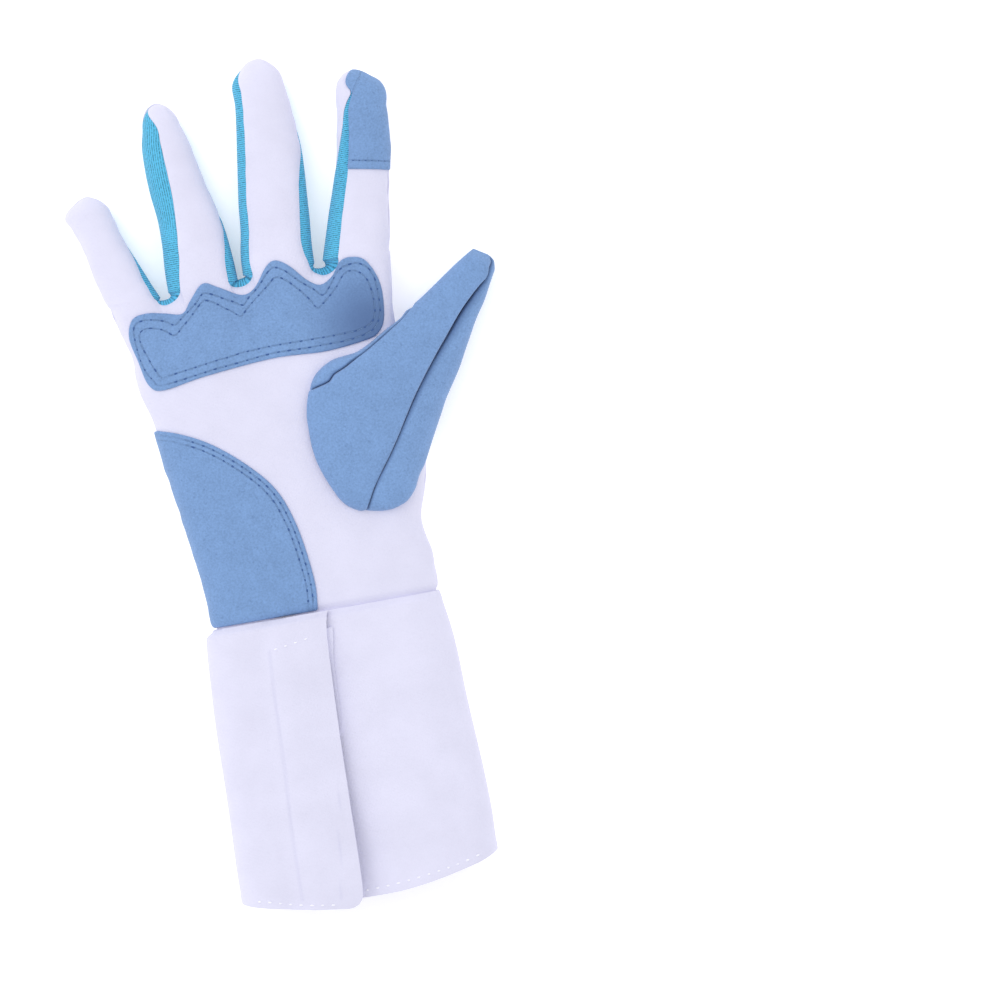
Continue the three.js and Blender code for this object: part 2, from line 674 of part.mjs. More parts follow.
// The heel of the thumb piece runs back from the first row on a rounded end.
function thumbPoint(share, degrees, inset) {
  const { start, ahead, right } = thumbFrame();
  const table = (column, size) => along(THUMB_ROWS, column, share) * size;
  const heel = Math.max(0, -share / THUMB_HEEL);
  const shrink = crest(heel, CAP);
  const [l, r] = [table("left", THUMB_WIDTH), table("right", THUMB_WIDTH)];
  const across = Math.cos(radians(degrees));
  const upper = Math.sin(radians(degrees)) >= 0;
  const half = ((r - l) / 2 - inset) * shrink;
  const lateral = (l + r) / 2 + half * across;
  const [leftZ, rightZ] = [table("leftZ", THUMB_THICKNESS), table("rightZ", THUMB_THICKNESS)];
  const edge = mix(leftZ, rightZ, (across + 1) / 2);
  const swell = (table(upper ? "rise" : "drop", THUMB_THICKNESS) - inset) * shrink;
  const bow = Math.max(swell, 0) * crest(across, upper ? THUMB_TOP : THUMB_UNDER);
  const end = (Math.max(0, (share - 1) / THUMB_END + 1) - heel) * inset;
  const place = start.clone().addScaledVector(ahead, share * THUMB_LENGTH - end);
  place.addScaledVector(right, lateral);
  return new THREE.Vector3(place.x, place.y, upper ? edge + bow : edge - bow);
}

function thumbShares() {
  const heel = HEEL_STEPS.map((share) => -share * THUMB_HEEL);
  const rest = Array.from({ length: THUMB_STEPS }, (_, i) => (i / THUMB_STEPS) * TIP_STEPS[0]);
  return [...heel, ...rest, ...TIP_STEPS];
}

// A strip of the thumb tube between two angles that may change along it, less a gap at each seam.
function thumbSheet(fromAngle, toAngle, columns, [fromGap, toGap]) {
  const shares = thumbShares();
  const points = (inset) =>
    shares.flatMap((share) => {
      const across = along(THUMB_ROWS, "right", share) - along(THUMB_ROWS, "left", share);
      const turn = DEGREE / (across * THUMB_WIDTH);
      return Array.from({ length: columns + 1 }, (_, c) => {
        const [from, to] = [fromAngle(share) + fromGap * turn, toAngle(share) - toGap * turn];
        return thumbPoint(share, mix(from, to, c / columns), inset);
      });
    });
  return { points, faces: reversed(gridFaces(shares.length, columns + 1)) };
}

const shortSeam = (share) => along(THUMB_ROWS, "fold", share);
function longSeam(share) {
  const row = (column) => along(THUMB_ROWS, column, share);
  const [left, right] = [row("left"), row("right")];
  return Math.acos((2 * row("seam") - left - right) / (right - left)) / radians(1);
}

// Solids

const solids = {
  from(geometry) {
    const merged = mergeVertices(geometry, 1e-4);
    return new Manifold(
      new SolidMesh({
        numProp: 3,
        vertProperties: new Float32Array(merged.attributes.position.array),
        triVerts: new Uint32Array(merged.index.array),
      }),
    );
  },
  geometry(solid) {
    const { vertProperties, triVerts, numProp } = solid.getMesh();
    const geometry = new THREE.BufferGeometry();
    geometry.setAttribute("position", new THREE.BufferAttribute(vertProperties.slice(), numProp));
    return geometry.setIndex(new THREE.BufferAttribute(triVerts.slice(), 1));
  },
  largest(solid) {
    return solid.decompose().reduce((a, b) => (b.volume() > a.volume() ? b : a));
  },
};

const lifted = (geometry, height) => geometry.translate(0, 0, height);

function prism(outline) {
  const shape = new THREE.Shape();
  outline.forEach(([x, y], i) => (i ? shape.lineTo(x, y) : shape.moveTo(x, y)));
  const geometry = new THREE.ExtrudeGeometry(shape, { depth: 2 * BEYOND, bevelEnabled: false });
  geometry.deleteAttribute("normal");
  geometry.deleteAttribute("uv");
  return solids.from(geometry.translate(0, 0, -BEYOND));
}

// A smooth outline through a patch's points, at its place on the palm. An open one is closed by
// straight edges through its corners.
function patchOutline(rows, width, height, place, steps, corners = []) {
  const [x0, y0] = [place[0] * KNUCKLE_WIDTH, place[1] * HAND_LENGTH];
  const put = ({ x, y }) => new THREE.Vector3(x0 + x * width, y0 + y * height, 0);
  const closed = corners.length === 0;
  const curve = new THREE.CatmullRomCurve3(rows.map(put), closed, "centripetal");
  const points = curve.getSpacedPoints(steps).slice(0, closed ? -1 : undefined);
  return [...points, ...corners.map(put)].map(({ x, y }) => [x, y]);
}

// The fingertip patch: everything of the index finger beyond a slanted line.
function tipOutline() {
  const { length, root, width } = FINGERS[3];
  const x = rootLeft(3);
  const top = root * HAND_LENGTH + length;
  const [left, right] = [x + TIP_PATCH_LEFT * width, x + 2 * width];
  const foot = (at) => top - TIP_PATCH_LENGTH - (at - x - width) * TIP_PATCH_SLANT;
  return [
    [left, foot(left)],
    [right, foot(right)],
    [right, top + width],
    [left, top + width],
  ];
}

const BEYOND = 4 * PALM_THICKNESS; // cutting shapes reach this far over and under the glove

const front = handSheet(true);
const back = handSheet(false);

const LEAST_LEAN = 0.7; // of a normal to the way along which a copy moves

// A copy of a sheet's points, moved out by a distance, more upwards than along its own normals, so
// that a thick copy doesn't fold over itself in the valleys between the fingers.
function offset(points, faces, distance) {
  const index = faces.flatMap(([a, b, c, d]) => (d === undefined ? [a, b, c] : [a, b, c, a, c, d]));
  const geometry = new THREE.BufferGeometry().setFromPoints(points).setIndex(index);
  geometry.computeVertexNormals();
  return points.map((point, i) => {
    const normal = new THREE.Vector3().fromBufferAttribute(geometry.attributes.normal, i);
    const way = new THREE.Vector3(0, 0, 1).add(normal).normalize();
    return point.clone().addScaledVector(way, distance / Math.max(way.dot(normal), LEAST_LEAN));
  });
}

const palmHull = (() => {
  const outer = offset(front.points(0), front.faces, SEAM_GAP);
  const floor = outer.map(({ x, y }) => new THREE.Vector3(x, y, -BEYOND));
  return solids.from(lifted(wall(outer, floor, front.faces), FRONT_LIFT));
})();

const thumbCore = (() => {
  const sheet = thumbSheet(() => 0, () => 360, 20, [0, 0]);
  const points = sheet.points(THUMB_SUEDE);
  const shares = thumbShares().length;
  const geometry = new THREE.BufferGeometry().setFromPoints(points);
  const around = 21;
  const index = sheet.faces.flatMap(([a, b, c, d]) => [a, b, c, a, c, d]);
  for (let c = 1; c + 1 < around; c++) {
    index.push(0, c, c + 1);
    index.push((shares - 1) * around, (shares - 1) * around + c + 1, (shares - 1) * around + c);
  }
  return solids.from(geometry.setIndex(index));
})();

function palmPanel() {
  const sheet = solids.from(lifted(sheetWall(front, 0, CLOTH), FRONT_LIFT));
  return solids.geometry(solids.largest(sheet.subtract(thumbCore)));
}

function thumbPanel(fromAngle, toAngle, columns, gaps) {
  const strip = thumbSheet(fromAngle, toAngle, columns, gaps);
  const sheet = solids.from(sheetWall(strip, 0, THUMB_SUEDE));
  return solids.geometry(solids.largest(sheet.subtract(palmHull)));
}

const overlay = (() => {
  const [outer, inner] = [SEAM_GAP + SUEDE, SEAM_GAP].map((distance) =>
    offset(front.points(0), front.faces, distance),
  );
  return solids.from(lifted(wall(outer, inner, front.faces), FRONT_LIFT));
})();
const patch = (outline) => solids.geometry(solids.largest(overlay.intersect(prism(outline))));

const MATERIALS = {
  cotton: { color: 0xe8e8f8, roughness: 0.9, metalness: 0 },
  suede: { color: 0x7fa3d3, roughness: 0.95, metalness: 0 },
  knit: { color: 0x35a5cc, roughness: 0.85, metalness: 0 },
};

const glove = new THREE.Group();
function add(name, geometry, material) {
  const mesh = new THREE.Mesh(geometry, new THREE.MeshStandardMaterial(MATERIALS[material]));
  mesh.name = name;
  glove.add(mesh);
}

add("palm_panel", palmPanel(), "cotton");
add("back_panel", sheetWall(back, 0, CLOTH), "cotton");
FINGERS.slice(0, -1).forEach(({ name }, index) => {
  const gusset = sheetWall(gussetSheet(index), 0, CLOTH);
  add(`gusset_${name}_${FINGERS[index + 1].name}`, lifted(gusset, GUSSET_LIFT), "knit");
});
add("cuff_body", sheetWall(cuffBody(), 0, CUFF_CLOTH), "cotton");
add("cuff_flap", sheetWall(cuffFlap(), 0, FLAP_CLOTH), "cotton");
add(
  "knuckle_patch",
  patch(patchOutline(KNUCKLE_OUTLINE, KNUCKLE_PATCH_WIDTH, KNUCKLE_PATCH_HEIGHT, KNUCKLE_PLACE, 60)),
  "suede",
);
add(
  "heel_patch",
  patch(
    patchOutline(HEEL_OUTLINE, HEEL_PATCH_WIDTH, HEEL_PATCH_HEIGHT, HEEL_PLACE, 24, HEEL_CORNERS),
  ),
  "suede",
);
add("index_tip_patch", patch(tipOutline()), "suede");
const longRound = (share) => longSeam(share) + 360;
const [LONG_GAP, SHORT_GAP] = [SEAM_GAP, 4 * SEAM_GAP];
add("thumb_front", thumbPanel(longSeam, shortSeam, 8, [LONG_GAP, SHORT_GAP]), "suede");
add("thumb_back", thumbPanel(shortSeam, longRound, 12, [SHORT_GAP, LONG_GAP]), "suede");

// The part's origin is on the table, under the middle of the glove.
const bounds = new THREE.Box3().setFromObject(glove);
const middle = bounds.getCenter(new THREE.Vector3());
glove.children.forEach((mesh) => mesh.position.set(-middle.x, -middle.y, 0));

const part = new THREE.Group();
part.add(glove);
export default part;
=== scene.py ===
"""The looks of a right-hand fencing glove that lies on its back with the palm up.

The surfaces repeat the part's own sections, in millimetres, with +X to the thumb side, +Y to the
fingertips and +Z up. They start from the middle of the cuff's seam and are moved to the frame.
"""

import math

import bpy
import numpy as np
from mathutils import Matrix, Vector
from mathutils.bvhtree import BVHTree
from mathutils.kdtree import KDTree


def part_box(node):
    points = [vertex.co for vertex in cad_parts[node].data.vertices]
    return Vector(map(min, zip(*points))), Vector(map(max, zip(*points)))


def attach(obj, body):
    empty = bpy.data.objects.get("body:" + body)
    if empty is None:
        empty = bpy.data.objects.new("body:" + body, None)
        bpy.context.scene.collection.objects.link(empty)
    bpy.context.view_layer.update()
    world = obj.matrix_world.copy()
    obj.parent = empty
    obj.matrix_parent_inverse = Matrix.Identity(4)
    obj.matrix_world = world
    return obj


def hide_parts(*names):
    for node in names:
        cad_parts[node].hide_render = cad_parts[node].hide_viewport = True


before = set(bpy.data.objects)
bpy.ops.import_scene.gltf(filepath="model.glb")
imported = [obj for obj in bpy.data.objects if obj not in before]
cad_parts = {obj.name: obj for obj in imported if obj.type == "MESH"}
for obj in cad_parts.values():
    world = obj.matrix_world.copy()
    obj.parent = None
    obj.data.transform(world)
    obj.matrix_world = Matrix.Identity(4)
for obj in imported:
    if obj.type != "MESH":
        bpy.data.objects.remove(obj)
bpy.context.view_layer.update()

# Cloth
CLOTH = 1.2
SUEDE = 0.9
THUMB_SUEDE = 1.4
CUFF_CLOTH = 1.6
FLAP_CLOTH = 2.6
SEAM_GAP = 0.1  # between pieces that are sewn together
PATCH_GAP = 0.15  # between a patch and the palm
RIM = 0.5  # width of the rounded edge of a patch
RIM_FALL = 0.5  # how far that edge comes down, as a share of the suede

# Hand
HAND_LENGTH = 138.0  # cuff seam to the root of the index finger
PALM_THICKNESS = 23.0
PALM_SIDE = 9.0  # height of the side seams over the table
WEB_GAP = 3.4  # opening between two finger roots
WEB_DEPTHS = (3.7, 3.3, 6.0)  # how far the seams dip at each web
WEB_FRONT = 12.0  # height of the front seam at the web
WEB_BACK = 4.0  # height of the back seam at the web
WEB_BULGES = (1.9, 3.0, 3.4)
WEB_INSET = 0.7  # share of the cloth's thickness by which a web's seam moves, inside
LOBE_LENGTH = 34.0  # over which the knuckle lobes fade into the palm
CREASE_LENGTH = 9.0  # over which the valleys below the webs soften
VALLEY_SOFTNESS = 7.0
SOFT_SIDE = 0.06  # share of the width over which the softening fades at the palm's sides
ROOT_BEND = 4  # how late the palm's rows bend to follow the finger roots
TRIM_END = 0.97  # share of a finger's length beyond which its seam gap is no longer widened
MOST_TRIM = 0.3  # share of a knit strip's width that its seam gap takes at most

# Cuff
CUFF_LENGTH = 115.0
CUFF_WIDTH = 104.0
CUFF_THICKNESS = 33.0  # at the mouth
CUFF_STEP = 0.7  # how far the cuff stands proud of the hand at its seam
TUCK = 4.0  # length of hand cloth inside the cuff
FLAP_EDGE = -2.5
UNDERLAP = 9.0  # how far the cuff runs on under the flap
FLAP_LIFT = 1.1  # extra height of the flap over the cuff, above its clearance
FLAP_CORNER = 6.0
FLAP_OVER = 16.0  # degrees round the section that the flap lies raised
FLAP_SLOPE = 20.0  # degrees over which it comes down
FLAP_ROOT = 205.0  # degrees round the section, where the flap is sewn on behind
ROOT_CLEARANCE = 0.1  # degrees from there to each of the two pieces
FLAP_THINNED = 0.1  # share of the cuff's length over which the flap reaches its thickness
VALLEY_DEPTH = 4.5  # dip of the cuff beside the flap, at the mouth
VALLEY_WIDTH = 11.0

# Thumb
THUMB_LENGTH = 105.0
THUMB_WIDTH = 55.0
THUMB_THICKNESS = 22.0
THUMB_START = (0.156, 0.377)  # shares of the knuckle width and the hand length
THUMB_AXIS = 48.2  # degrees from +X
THUMB_HEEL = 0.095  # rounded heel of the thumb piece, as a share of its length
THUMB_END = 0.1  # share of its length over which the inside falls back from the tip
THUMB_TIP = 0.965  # share of its length where the rows crowd towards the tip
THUMB_BUNCH = 0.7  # how closely the columns crowd at the seams
THUMB_SUNK = 0.3  # how deep the thumb piece's edge lies in the palm
HEEL_ROUND = 2.0
TIP_SLANT = 1.4
THIN_SEAM = 0.01  # least half width that a seam's place across the thumb is measured by
THIN_THUMB = 0.1  # the same for a point's place
SEAM_LEAN = 0.95  # cosine of the long seam's least angle, round the heel
EDGE_LEAN = 0.9995  # the same for the short seam, which runs to the thumb's edge

# Patches
KNUCKLE_PATCH = (103.0, 44.0)
KNUCKLE_PLACE = (-0.503, 0.703)  # shares of the knuckle width and the hand length
HEEL_PATCH = (53.0, 82.0)
HEEL_PLACE = (-0.472, 0.0)
TIP_PATCH_LENGTH = 41.0
TIP_PATCH_SLANT = 0.19  # slope of its lower edge
TIP_PATCH_LEFT = 0.3  # share of the finger's width where the patch begins

# Shape exponents of the sections: 2 is an ellipse, more is squarer
FINGER_TOP = 2.2
FINGER_BACK = 3.0
PALM_TOP = 3.0
PALM_BACK = 4.0
CAP = 1.7  # finger ends
THUMB_ROUND = 2.2
FLATTEN = 1.07  # how far the back would sink into the table if it were stiff
FINGER_SIDE = 0.46  # height of a finger's widest line, as a share of its thickness
CUFF_SIDE = 0.42  # the same for the cuff

# Mesh density
FINGER_COLUMNS = 26
FINGER_STEPS = 52
CAP_STEPS = 12
TUCK_STEPS = 8
PALM_STEPS = 104
WEB_STEPS = 12
GUSSET_COLUMNS = 10
THUMB_STEPS = 110
THUMB_COLUMNS = 60
CUFF_STEPS = 100
CUFF_COLUMNS = 160
FLAP_COLUMNS = 90
CUFF_BUNCH = 0.6  # how closely the columns crowd at the cuff's sides
HEEL_STEPS = 14
END_STEPS = 8


def named(columns, rows):
    """A table of numbers as one array for each named column."""
    return dict(zip(columns.split(), np.array(rows, float).T))


# Each finger's sizes. lean is how far its axis drifts to the right, root is where it starts as a
# share of the hand's length, and cap is the share of its own length where its round end starts.
SIZE_COLUMNS = "name width length thickness lean root cap"
FINGER_SIZES = [
    ("little", 21.8, 45.0, 13.5, -12.1, 0.975, 0.83),
    ("ring", 27.3, 75.8, 14.5, -6.1, 0.985, 0.884),
    ("middle", 29.0, 84.8, 15.0, 5.3, 0.996, 0.88),
    ("index", 27.0, 73.0, 15.0, 11.0, 1.0, 0.85),
]
# Each finger's rows run from root to tip. at is a share of the length, left and right are the
# outline as shares of the width from the finger's axis, thick is a share of the thickness, and the
# other columns are the seams, in degrees round the section from the right-hand side.
SEAM_COLUMNS = "at left right thick front_left back_left front_right back_right"
FINGER_ROWS = {
    "little": [
        (0.0, -0.5, 0.5, 1.2, 180, 180, 35, -42),
        (0.12, -0.512, 0.455, 1.1, 180, 180, 34, -45),
        (0.28, -0.494, 0.41, 1.03, 180, 180, 26, -48),
        (0.45, -0.464, 0.36, 1.0, 180, 180, 9, -48),
        (0.61, -0.463, 0.322, 0.97, 180, 180, -8, -46),
        (0.72, -0.488, 0.33, 0.92, 180, 180, -10, -40),
        (0.83, -0.53, 0.335, 0.84, 180, 180, -12, -28),
        (1.0, -0.34, 0.4, 0.8, 180, 180, -12, -12),
    ],
    "ring": [
        (0.0, -0.5, 0.54, 1.22, 132, 215, 41, -40),
        (0.12, -0.468, 0.55, 1.14, 124, 212, 37, -42),
        (0.25, -0.415, 0.546, 1.07, 120, 208, 17, -45),
        (0.38, -0.385, 0.514, 1.02, 114, 204, -6, -48),
        (0.515, -0.395, 0.44, 1.0, 104, 200, -12, -50),
        (0.645, -0.382, 0.398, 0.99, 101, 198, -14, -50),
        (0.78, -0.34, 0.351, 0.95, 100, 194, -16, -44),
        (0.884, -0.262, 0.288, 0.86, 106, 186, -18, -30),
        (1.0, -0.25, 0.288, 0.8, 165, 165, -18, -18),
    ],
    "middle": [
        (0.0, -0.5, 0.5, 1.22, 138, 218, 32, -38),
        (0.09, -0.504, 0.494, 1.15, 141, 216, 42, -38),
        (0.205, -0.468, 0.504, 1.08, 141, 214, 42, -40),
        (0.325, -0.456, 0.505, 1.04, 140, 212, 38, -42),
        (0.44, -0.43, 0.508, 1.0, 139, 210, 30, -44),
        (0.56, -0.4, 0.496, 1.0, 138, 208, 8, -48),
        (0.68, -0.37, 0.454, 0.98, 137, 206, -6, -48),
        (0.8, -0.35, 0.397, 0.94, 136, 202, -12, -42),
        (0.88, -0.367, 0.352, 0.86, 134, 192, -14, -30),
        (1.0, -0.34, 0.34, 0.8, 168, 168, -16, -16),
    ],
    "index": [
        (0.0, -0.5, 0.5, 1.22, 121, 216, 0, 0),
        (0.095, -0.458, 0.52, 1.15, 122, 212, 0, 0),
        (0.235, -0.396, 0.514, 1.07, 122, 206, 0, 0),
        (0.37, -0.327, 0.521, 1.02, 121, 198, 0, 0),
        (0.505, -0.268, 0.54, 1.0, 121, 178, 0, 0),
        (0.645, -0.244, 0.515, 0.98, 119, 149, 0, 0),
        (0.78, -0.222, 0.482, 0.95, 120, 138, 0, 0),
        (0.825, -0.23, 0.494, 0.93, 116, 128, 0, 0),
        (0.865, -0.236, 0.483, 0.89, 109, 114, 0, 0),
        (0.89, -0.252, 0.47, 0.87, 111, 112, 0, 0),
        (0.91, -0.275, 0.45, 0.86, 117, 117.8, 0, 0),
        (0.94, -0.315, 0.41, 0.83, 121, 121.8, 0, 0),
        (1.0, -0.36, 0.36, 0.8, 119, 119.8, 0, 0),
    ],
}
FINGERS = [dict(zip(SIZE_COLUMNS.split(), sizes)) for sizes in FINGER_SIZES]
for finger in FINGERS:
    finger["rows"] = named(SEAM_COLUMNS, FINGER_ROWS[finger["name"]])
INDEX = 3
KNUCKLE_WIDTH = sum(f["width"] for f in FINGERS) + (len(FINGERS) - 1) * WEB_GAP

# Rows along the palm and the cuff: the outline as shares of the width, and the height of the crown
PALM_ROWS = named(
    "at left right crown",
    [
        (0.0, -0.386, 0.403, 0.93),
        (0.11, -0.391, 0.405, 0.95),
        (0.21, -0.403, 0.386, 0.97),
        (0.29, -0.416, 0.414, 1.0),
        (0.377, -0.432, 0.438, 1.0),
        (0.507, -0.454, 0.447, 1.0),
        (0.616, -0.471, 0.442, 0.99),
        (0.725, -0.503, 0.425, 0.97),
        (0.812, -0.505, 0.416, 0.93),
        (0.906, -0.536, 0.43, 0.88),
        (1.0, -0.561, 0.442, 0.84),
    ],
)
CUFF_ROWS = named(
    "at left right crown",
    [
        (0.03, -0.466, 0.455, 0.75),
        (0.1, -0.475, 0.463, 0.78),
        (0.22, -0.481, 0.472, 0.82),
        (0.45, -0.489, 0.489, 0.9),
        (0.66, -0.496, 0.5, 0.96),
        (0.88, -0.504, 0.499, 1.0),
        (1.0, -0.5, 0.49, 1.0),
    ],
)
# How far the cuff's and the flap's hems reach at degrees round the section
CUFF_HEM = named(
    "at reach", [(-200, 0.95), (-90, 0.98), (0, 0.92), (35, 0.955), (75, 1.0), (110, 1.0)]
)
FLAP_HEM = named("at reach", [(90, 1.04), (180, 0.95), (210, 0.95)])
# The flap's free edge from the cuff's middle, in millimetres, along the cuff
FLAP_EDGE_ROWS = named(
    "at x",
    [(0, 1.5), (0.05, 0.2), (0.13, -0.6), (0.43, -2), (0.65, -2.5), (0.87, -3), (1, -4)],
)
# Heights of the thumb's two edges and of its upper and lower swell, as shares of its thickness
THUMB_ROWS = named(
    "at left_z right_z rise drop",
    [
        (0, 1.08, 1, 0.27, 0.45),
        (0.095, 1.1, 0.87, 0.36, 0.45),
        (0.19, 1.09, 0.68, 0.44, 0.45),
        (0.286, 1.05, 0.52, 0.5, 0.43),
        (0.381, 0.98, 0.45, 0.52, 0.42),
        (0.476, 0.88, 0.42, 0.49, 0.4),
        (0.619, 0.7, 0.39, 0.43, 0.37),
        (0.762, 0.54, 0.37, 0.37, 0.32),
        (0.905, 0.44, 0.35, 0.29, 0.24),
        (0.965, 0.41, 0.34, 0.23, 0.19),
        (1, 0.39, 0.34, 0.07, 0.07),
    ],
)
# The thumb's two edges and two seams seen from above, as shares of its width along its length
THUMB_LEFT = [
    (0, -0.27), (0.026, -0.326), (0.068, -0.399), (0.113, -0.468), (0.19, -0.545), (0.24, -0.562),
    (0.286, -0.552), (0.334, -0.52), (0.36, -0.488), (0.404, -0.421), (0.43, -0.391),
    (0.48, -0.355), (0.52, -0.334), (0.565, -0.306), (0.617, -0.272), (0.655, -0.265),
    (0.69, -0.236), (0.782, -0.189), (0.861, -0.152), (0.929, -0.122), (0.979, -0.099), (1, -0.092),
]
THUMB_RIGHT_EDGE = [
    (0, 0.447), (0.034, 0.478), (0.06, 0.484), (0.097, 0.481), (0.12, 0.468), (0.151, 0.455),
    (0.192, 0.449), (0.233, 0.431), (0.295, 0.4), (0.394, 0.352), (0.446, 0.327), (0.568, 0.297),
    (0.666, 0.254), (0.763, 0.213), (0.84, 0.197), (0.9, 0.173), (0.94, 0.153), (0.965, 0.137),
    (0.98, 0.118), (0.992, 0.097), (1, 0.062),
]
LONG_SEAM = [
    (-0.1, 0.285), (-0.064, 0.268), (0.02, 0.235), (0.15, 0.209), (0.3, 0.168), (0.42, 0.134),
    (0.54, 0.114), (0.68, 0.105), (0.76, 0.102), (0.85, 0.112), (0.89, 0.122), (0.915, 0.13),
    (0.938, 0.122), (0.965, 0.1), (0.985, 0.09), (1, 0.06),
]
SHORT_SEAM = [
    (0.16, -0.62), (0.2, -0.552), (0.266, -0.46), (0.285, -0.457), (0.303, -0.455), (0.345, -0.417),
    (0.389, -0.39), (0.45, -0.347), (0.502, -0.316), (0.556, -0.287), (0.611, -0.257),
    (0.66, -0.246), (0.685, -0.243), (0.72, -0.26),
]
# How wide the line of painted shade along the short seam is, along the thumb
SHORT_LINES = named(
    "at line",
    [(0.16, 1.0), (0.32, 1.0), (0.4, 1.6), (0.5, 2.4), (0.62, 2.8), (0.67, 2.0), (0.71, 0.3)],
)
THUMB_LINES = {
    "left": named("at x", THUMB_LEFT),
    "right": named("at x", THUMB_RIGHT_EDGE),
    "long": named("at x", LONG_SEAM),
    "short": named("at x", SHORT_SEAM),
}
# How far the right-hand leaf lies under the left one at the long seam, and a share that widens the
# painted shade along that seam and deepens its groove
LEAF_STEPS = named(
    "at step line",
    [
        (-0.06, 0.3, 0.5),
        (0.2, 0.5, 0.6),
        (0.4, 0.9, 0.9),
        (0.6, 1.5, 1.3),
        (0.75, 2.0, 1.7),
        (0.88, 1.9, 1.6),
        (0.94, 0.9, 0.9),
        (1, 0.3, 0.6),
    ],
)

# Patch outlines, clockwise, as shares of each patch's width and height
KNUCKLE_OUTLINE = [
    (0.0, 0.53), (0.025, 0.69), (0.08, 0.727), (0.15, 0.705), (0.22, 0.67), (0.26, 0.77),
    (0.32, 0.905), (0.38, 0.845), (0.465, 0.745), (0.52, 0.8), (0.57, 0.95), (0.61, 1.0),
    (0.66, 0.935), (0.72, 0.78), (0.77, 0.712), (0.82, 0.775), (0.85, 0.875), (0.9, 0.91),
    (0.96, 0.85), (1.0, 0.62), (0.993, 0.33), (0.96, 0.19), (0.9, 0.14), (0.74, 0.105),
    (0.54, 0.125), (0.27, 0.07), (0.1, 0.01), (0.045, 0.08), (0.02, 0.3),
]
# The two rows of stitches on the knuckle patch, clockwise, from the cuff's seam in millimetres
OUTER_ROW = [
    (-49, 99.6), (-51.3, 102.5), (-53.2, 105.5), (-54.6, 110), (-55.3, 115), (-55.6, 120),
    (-55.4, 123.5), (-54, 125.6), (-51, 126.4), (-47, 126), (-42.5, 124.6), (-38.8, 122.5),
    (-35.4, 124.9), (-32, 127.3), (-28.7, 129.8), (-26.8, 131.8), (-25.2, 133), (-21.8, 131.8),
    (-17.6, 129.4), (-14, 127.5), (-10.5, 125.6), (-7.8, 128.3), (-4, 131.2), (-1, 134.2),
    (1.2, 136.6), (3.5, 138.1), (6, 137.6), (8.6, 135.8), (11.3, 133), (14.5, 130), (18, 127.2),
    (21.4, 124), (24.2, 126.3), (26.4, 129.2), (28.8, 132.2), (32, 133.8), (36, 134.3),
    (39.3, 133.2), (41.6, 130.8), (43, 127), (43.4, 122), (43.3, 117.5), (42.8, 113), (41.4, 109.8),
    (39.2, 107.2), (35.5, 105.6), (31, 104.8), (26, 104.3), (20, 104.3), (12.8, 104.2), (5, 104.4),
    (-2, 104.5), (-10.5, 103.7), (-18, 102.9), (-25.7, 102.2), (-33.8, 101.1), (-42, 100),
]
INNER_ROW = [
    (-47.6, 102.4), (-50.3, 107.8), (-51.8, 112), (-53, 115.5), (-53.6, 119), (-53.1, 121.7),
    (-50.5, 123), (-46.5, 122.4), (-43, 120.8), (-39.5, 118.4), (-36.2, 121), (-32.7, 123.9),
    (-29.5, 126.9), (-27, 129.2), (-25, 130), (-21.5, 128.3), (-18.5, 126), (-15.4, 123.9),
    (-12.2, 121.4), (-9.6, 123.6), (-6.4, 126.3), (-2.6, 129.2), (0.8, 131.8), (4, 134.2),
    (7.5, 132.8), (10.8, 129.6), (13.8, 126.2), (16.4, 122.6), (18.6, 119.2), (21.7, 121.2),
    (24.9, 123.9), (28, 126.9), (30.4, 130), (33, 131.6), (36.5, 131), (39.3, 128.4), (40.7, 124.3),
    (41.2, 119.5), (41, 115), (40.2, 111.7), (37.8, 109.2), (33, 107.7), (28.5, 107.4), (19, 107.2),
    (9.5, 107.3), (0, 107.4), (-7, 107.2), (-14.5, 106.8), (-19, 106), (-24, 105.6), (-32.4, 104.4),
    (-41.6, 103.2), (-45.5, 102.6),
]
# The hem's and the flap's rows of stitches
HEM_ROW = [(-4, -112.6), (9, -112), (25, -110.2), (38, -108), (48, -105.3)]
FLAP_HEM_ROW = [(-47, -109.4), (-41, -110.7), (-30, -113.5), (-17, -115.7), (-11, -116.4)]
FLAP_TOP_ROW = [(-23.5, -12.2), (-14, -10.8), (-5, -9.3)]
# The curved edge of the heel patch, and its two corners at the glove's left edge
HEEL_OUTLINE = [
    (0.985, 0.004), (1.0, 0.12), (0.985, 0.25), (0.95, 0.4), (0.9, 0.52), (0.84, 0.61), (0.74, 0.7),
    (0.55, 0.82), (0.36, 0.91), (0.17, 0.97), (0.02, 1.0),
]
HEEL_CORNERS = [(-0.2, 1.0), (-0.2, 0.004)]


def mix(a, b, share):
    return a + (b - a) * share


def smooth(share):
    share = np.clip(share, 0, 1)
    return share * share * (3 - 2 * share)


def crest(share, exponent):
    return np.maximum(0, 1 - np.minimum(1, np.abs(share)) ** exponent) ** (1 / exponent)


def along(table, column, at):
    """The values of a table's column at shares along it, on a smooth curve through its rows."""
    x, y = table["at"], table[column]
    at = np.clip(at, x[0], x[-1])
    before = np.maximum(np.arange(len(x)) - 1, 0)
    after = np.minimum(np.arange(len(x)) + 1, len(x) - 1)
    slope = (y[after] - y[before]) / (x[after] - x[before])
    i = np.clip(np.searchsorted(x, at, side="right") - 1, 0, len(x) - 2)
    step = x[i + 1] - x[i]
    u = (at - x[i]) / step
    cubic = 2 * u**3 - 3 * u**2
    bend = slope[i] * (u**3 - 2 * u**2 + u) + slope[i + 1] * (u**3 - u**2)
    return y[i] * (cubic + 1) - y[i + 1] * cubic + step * bend


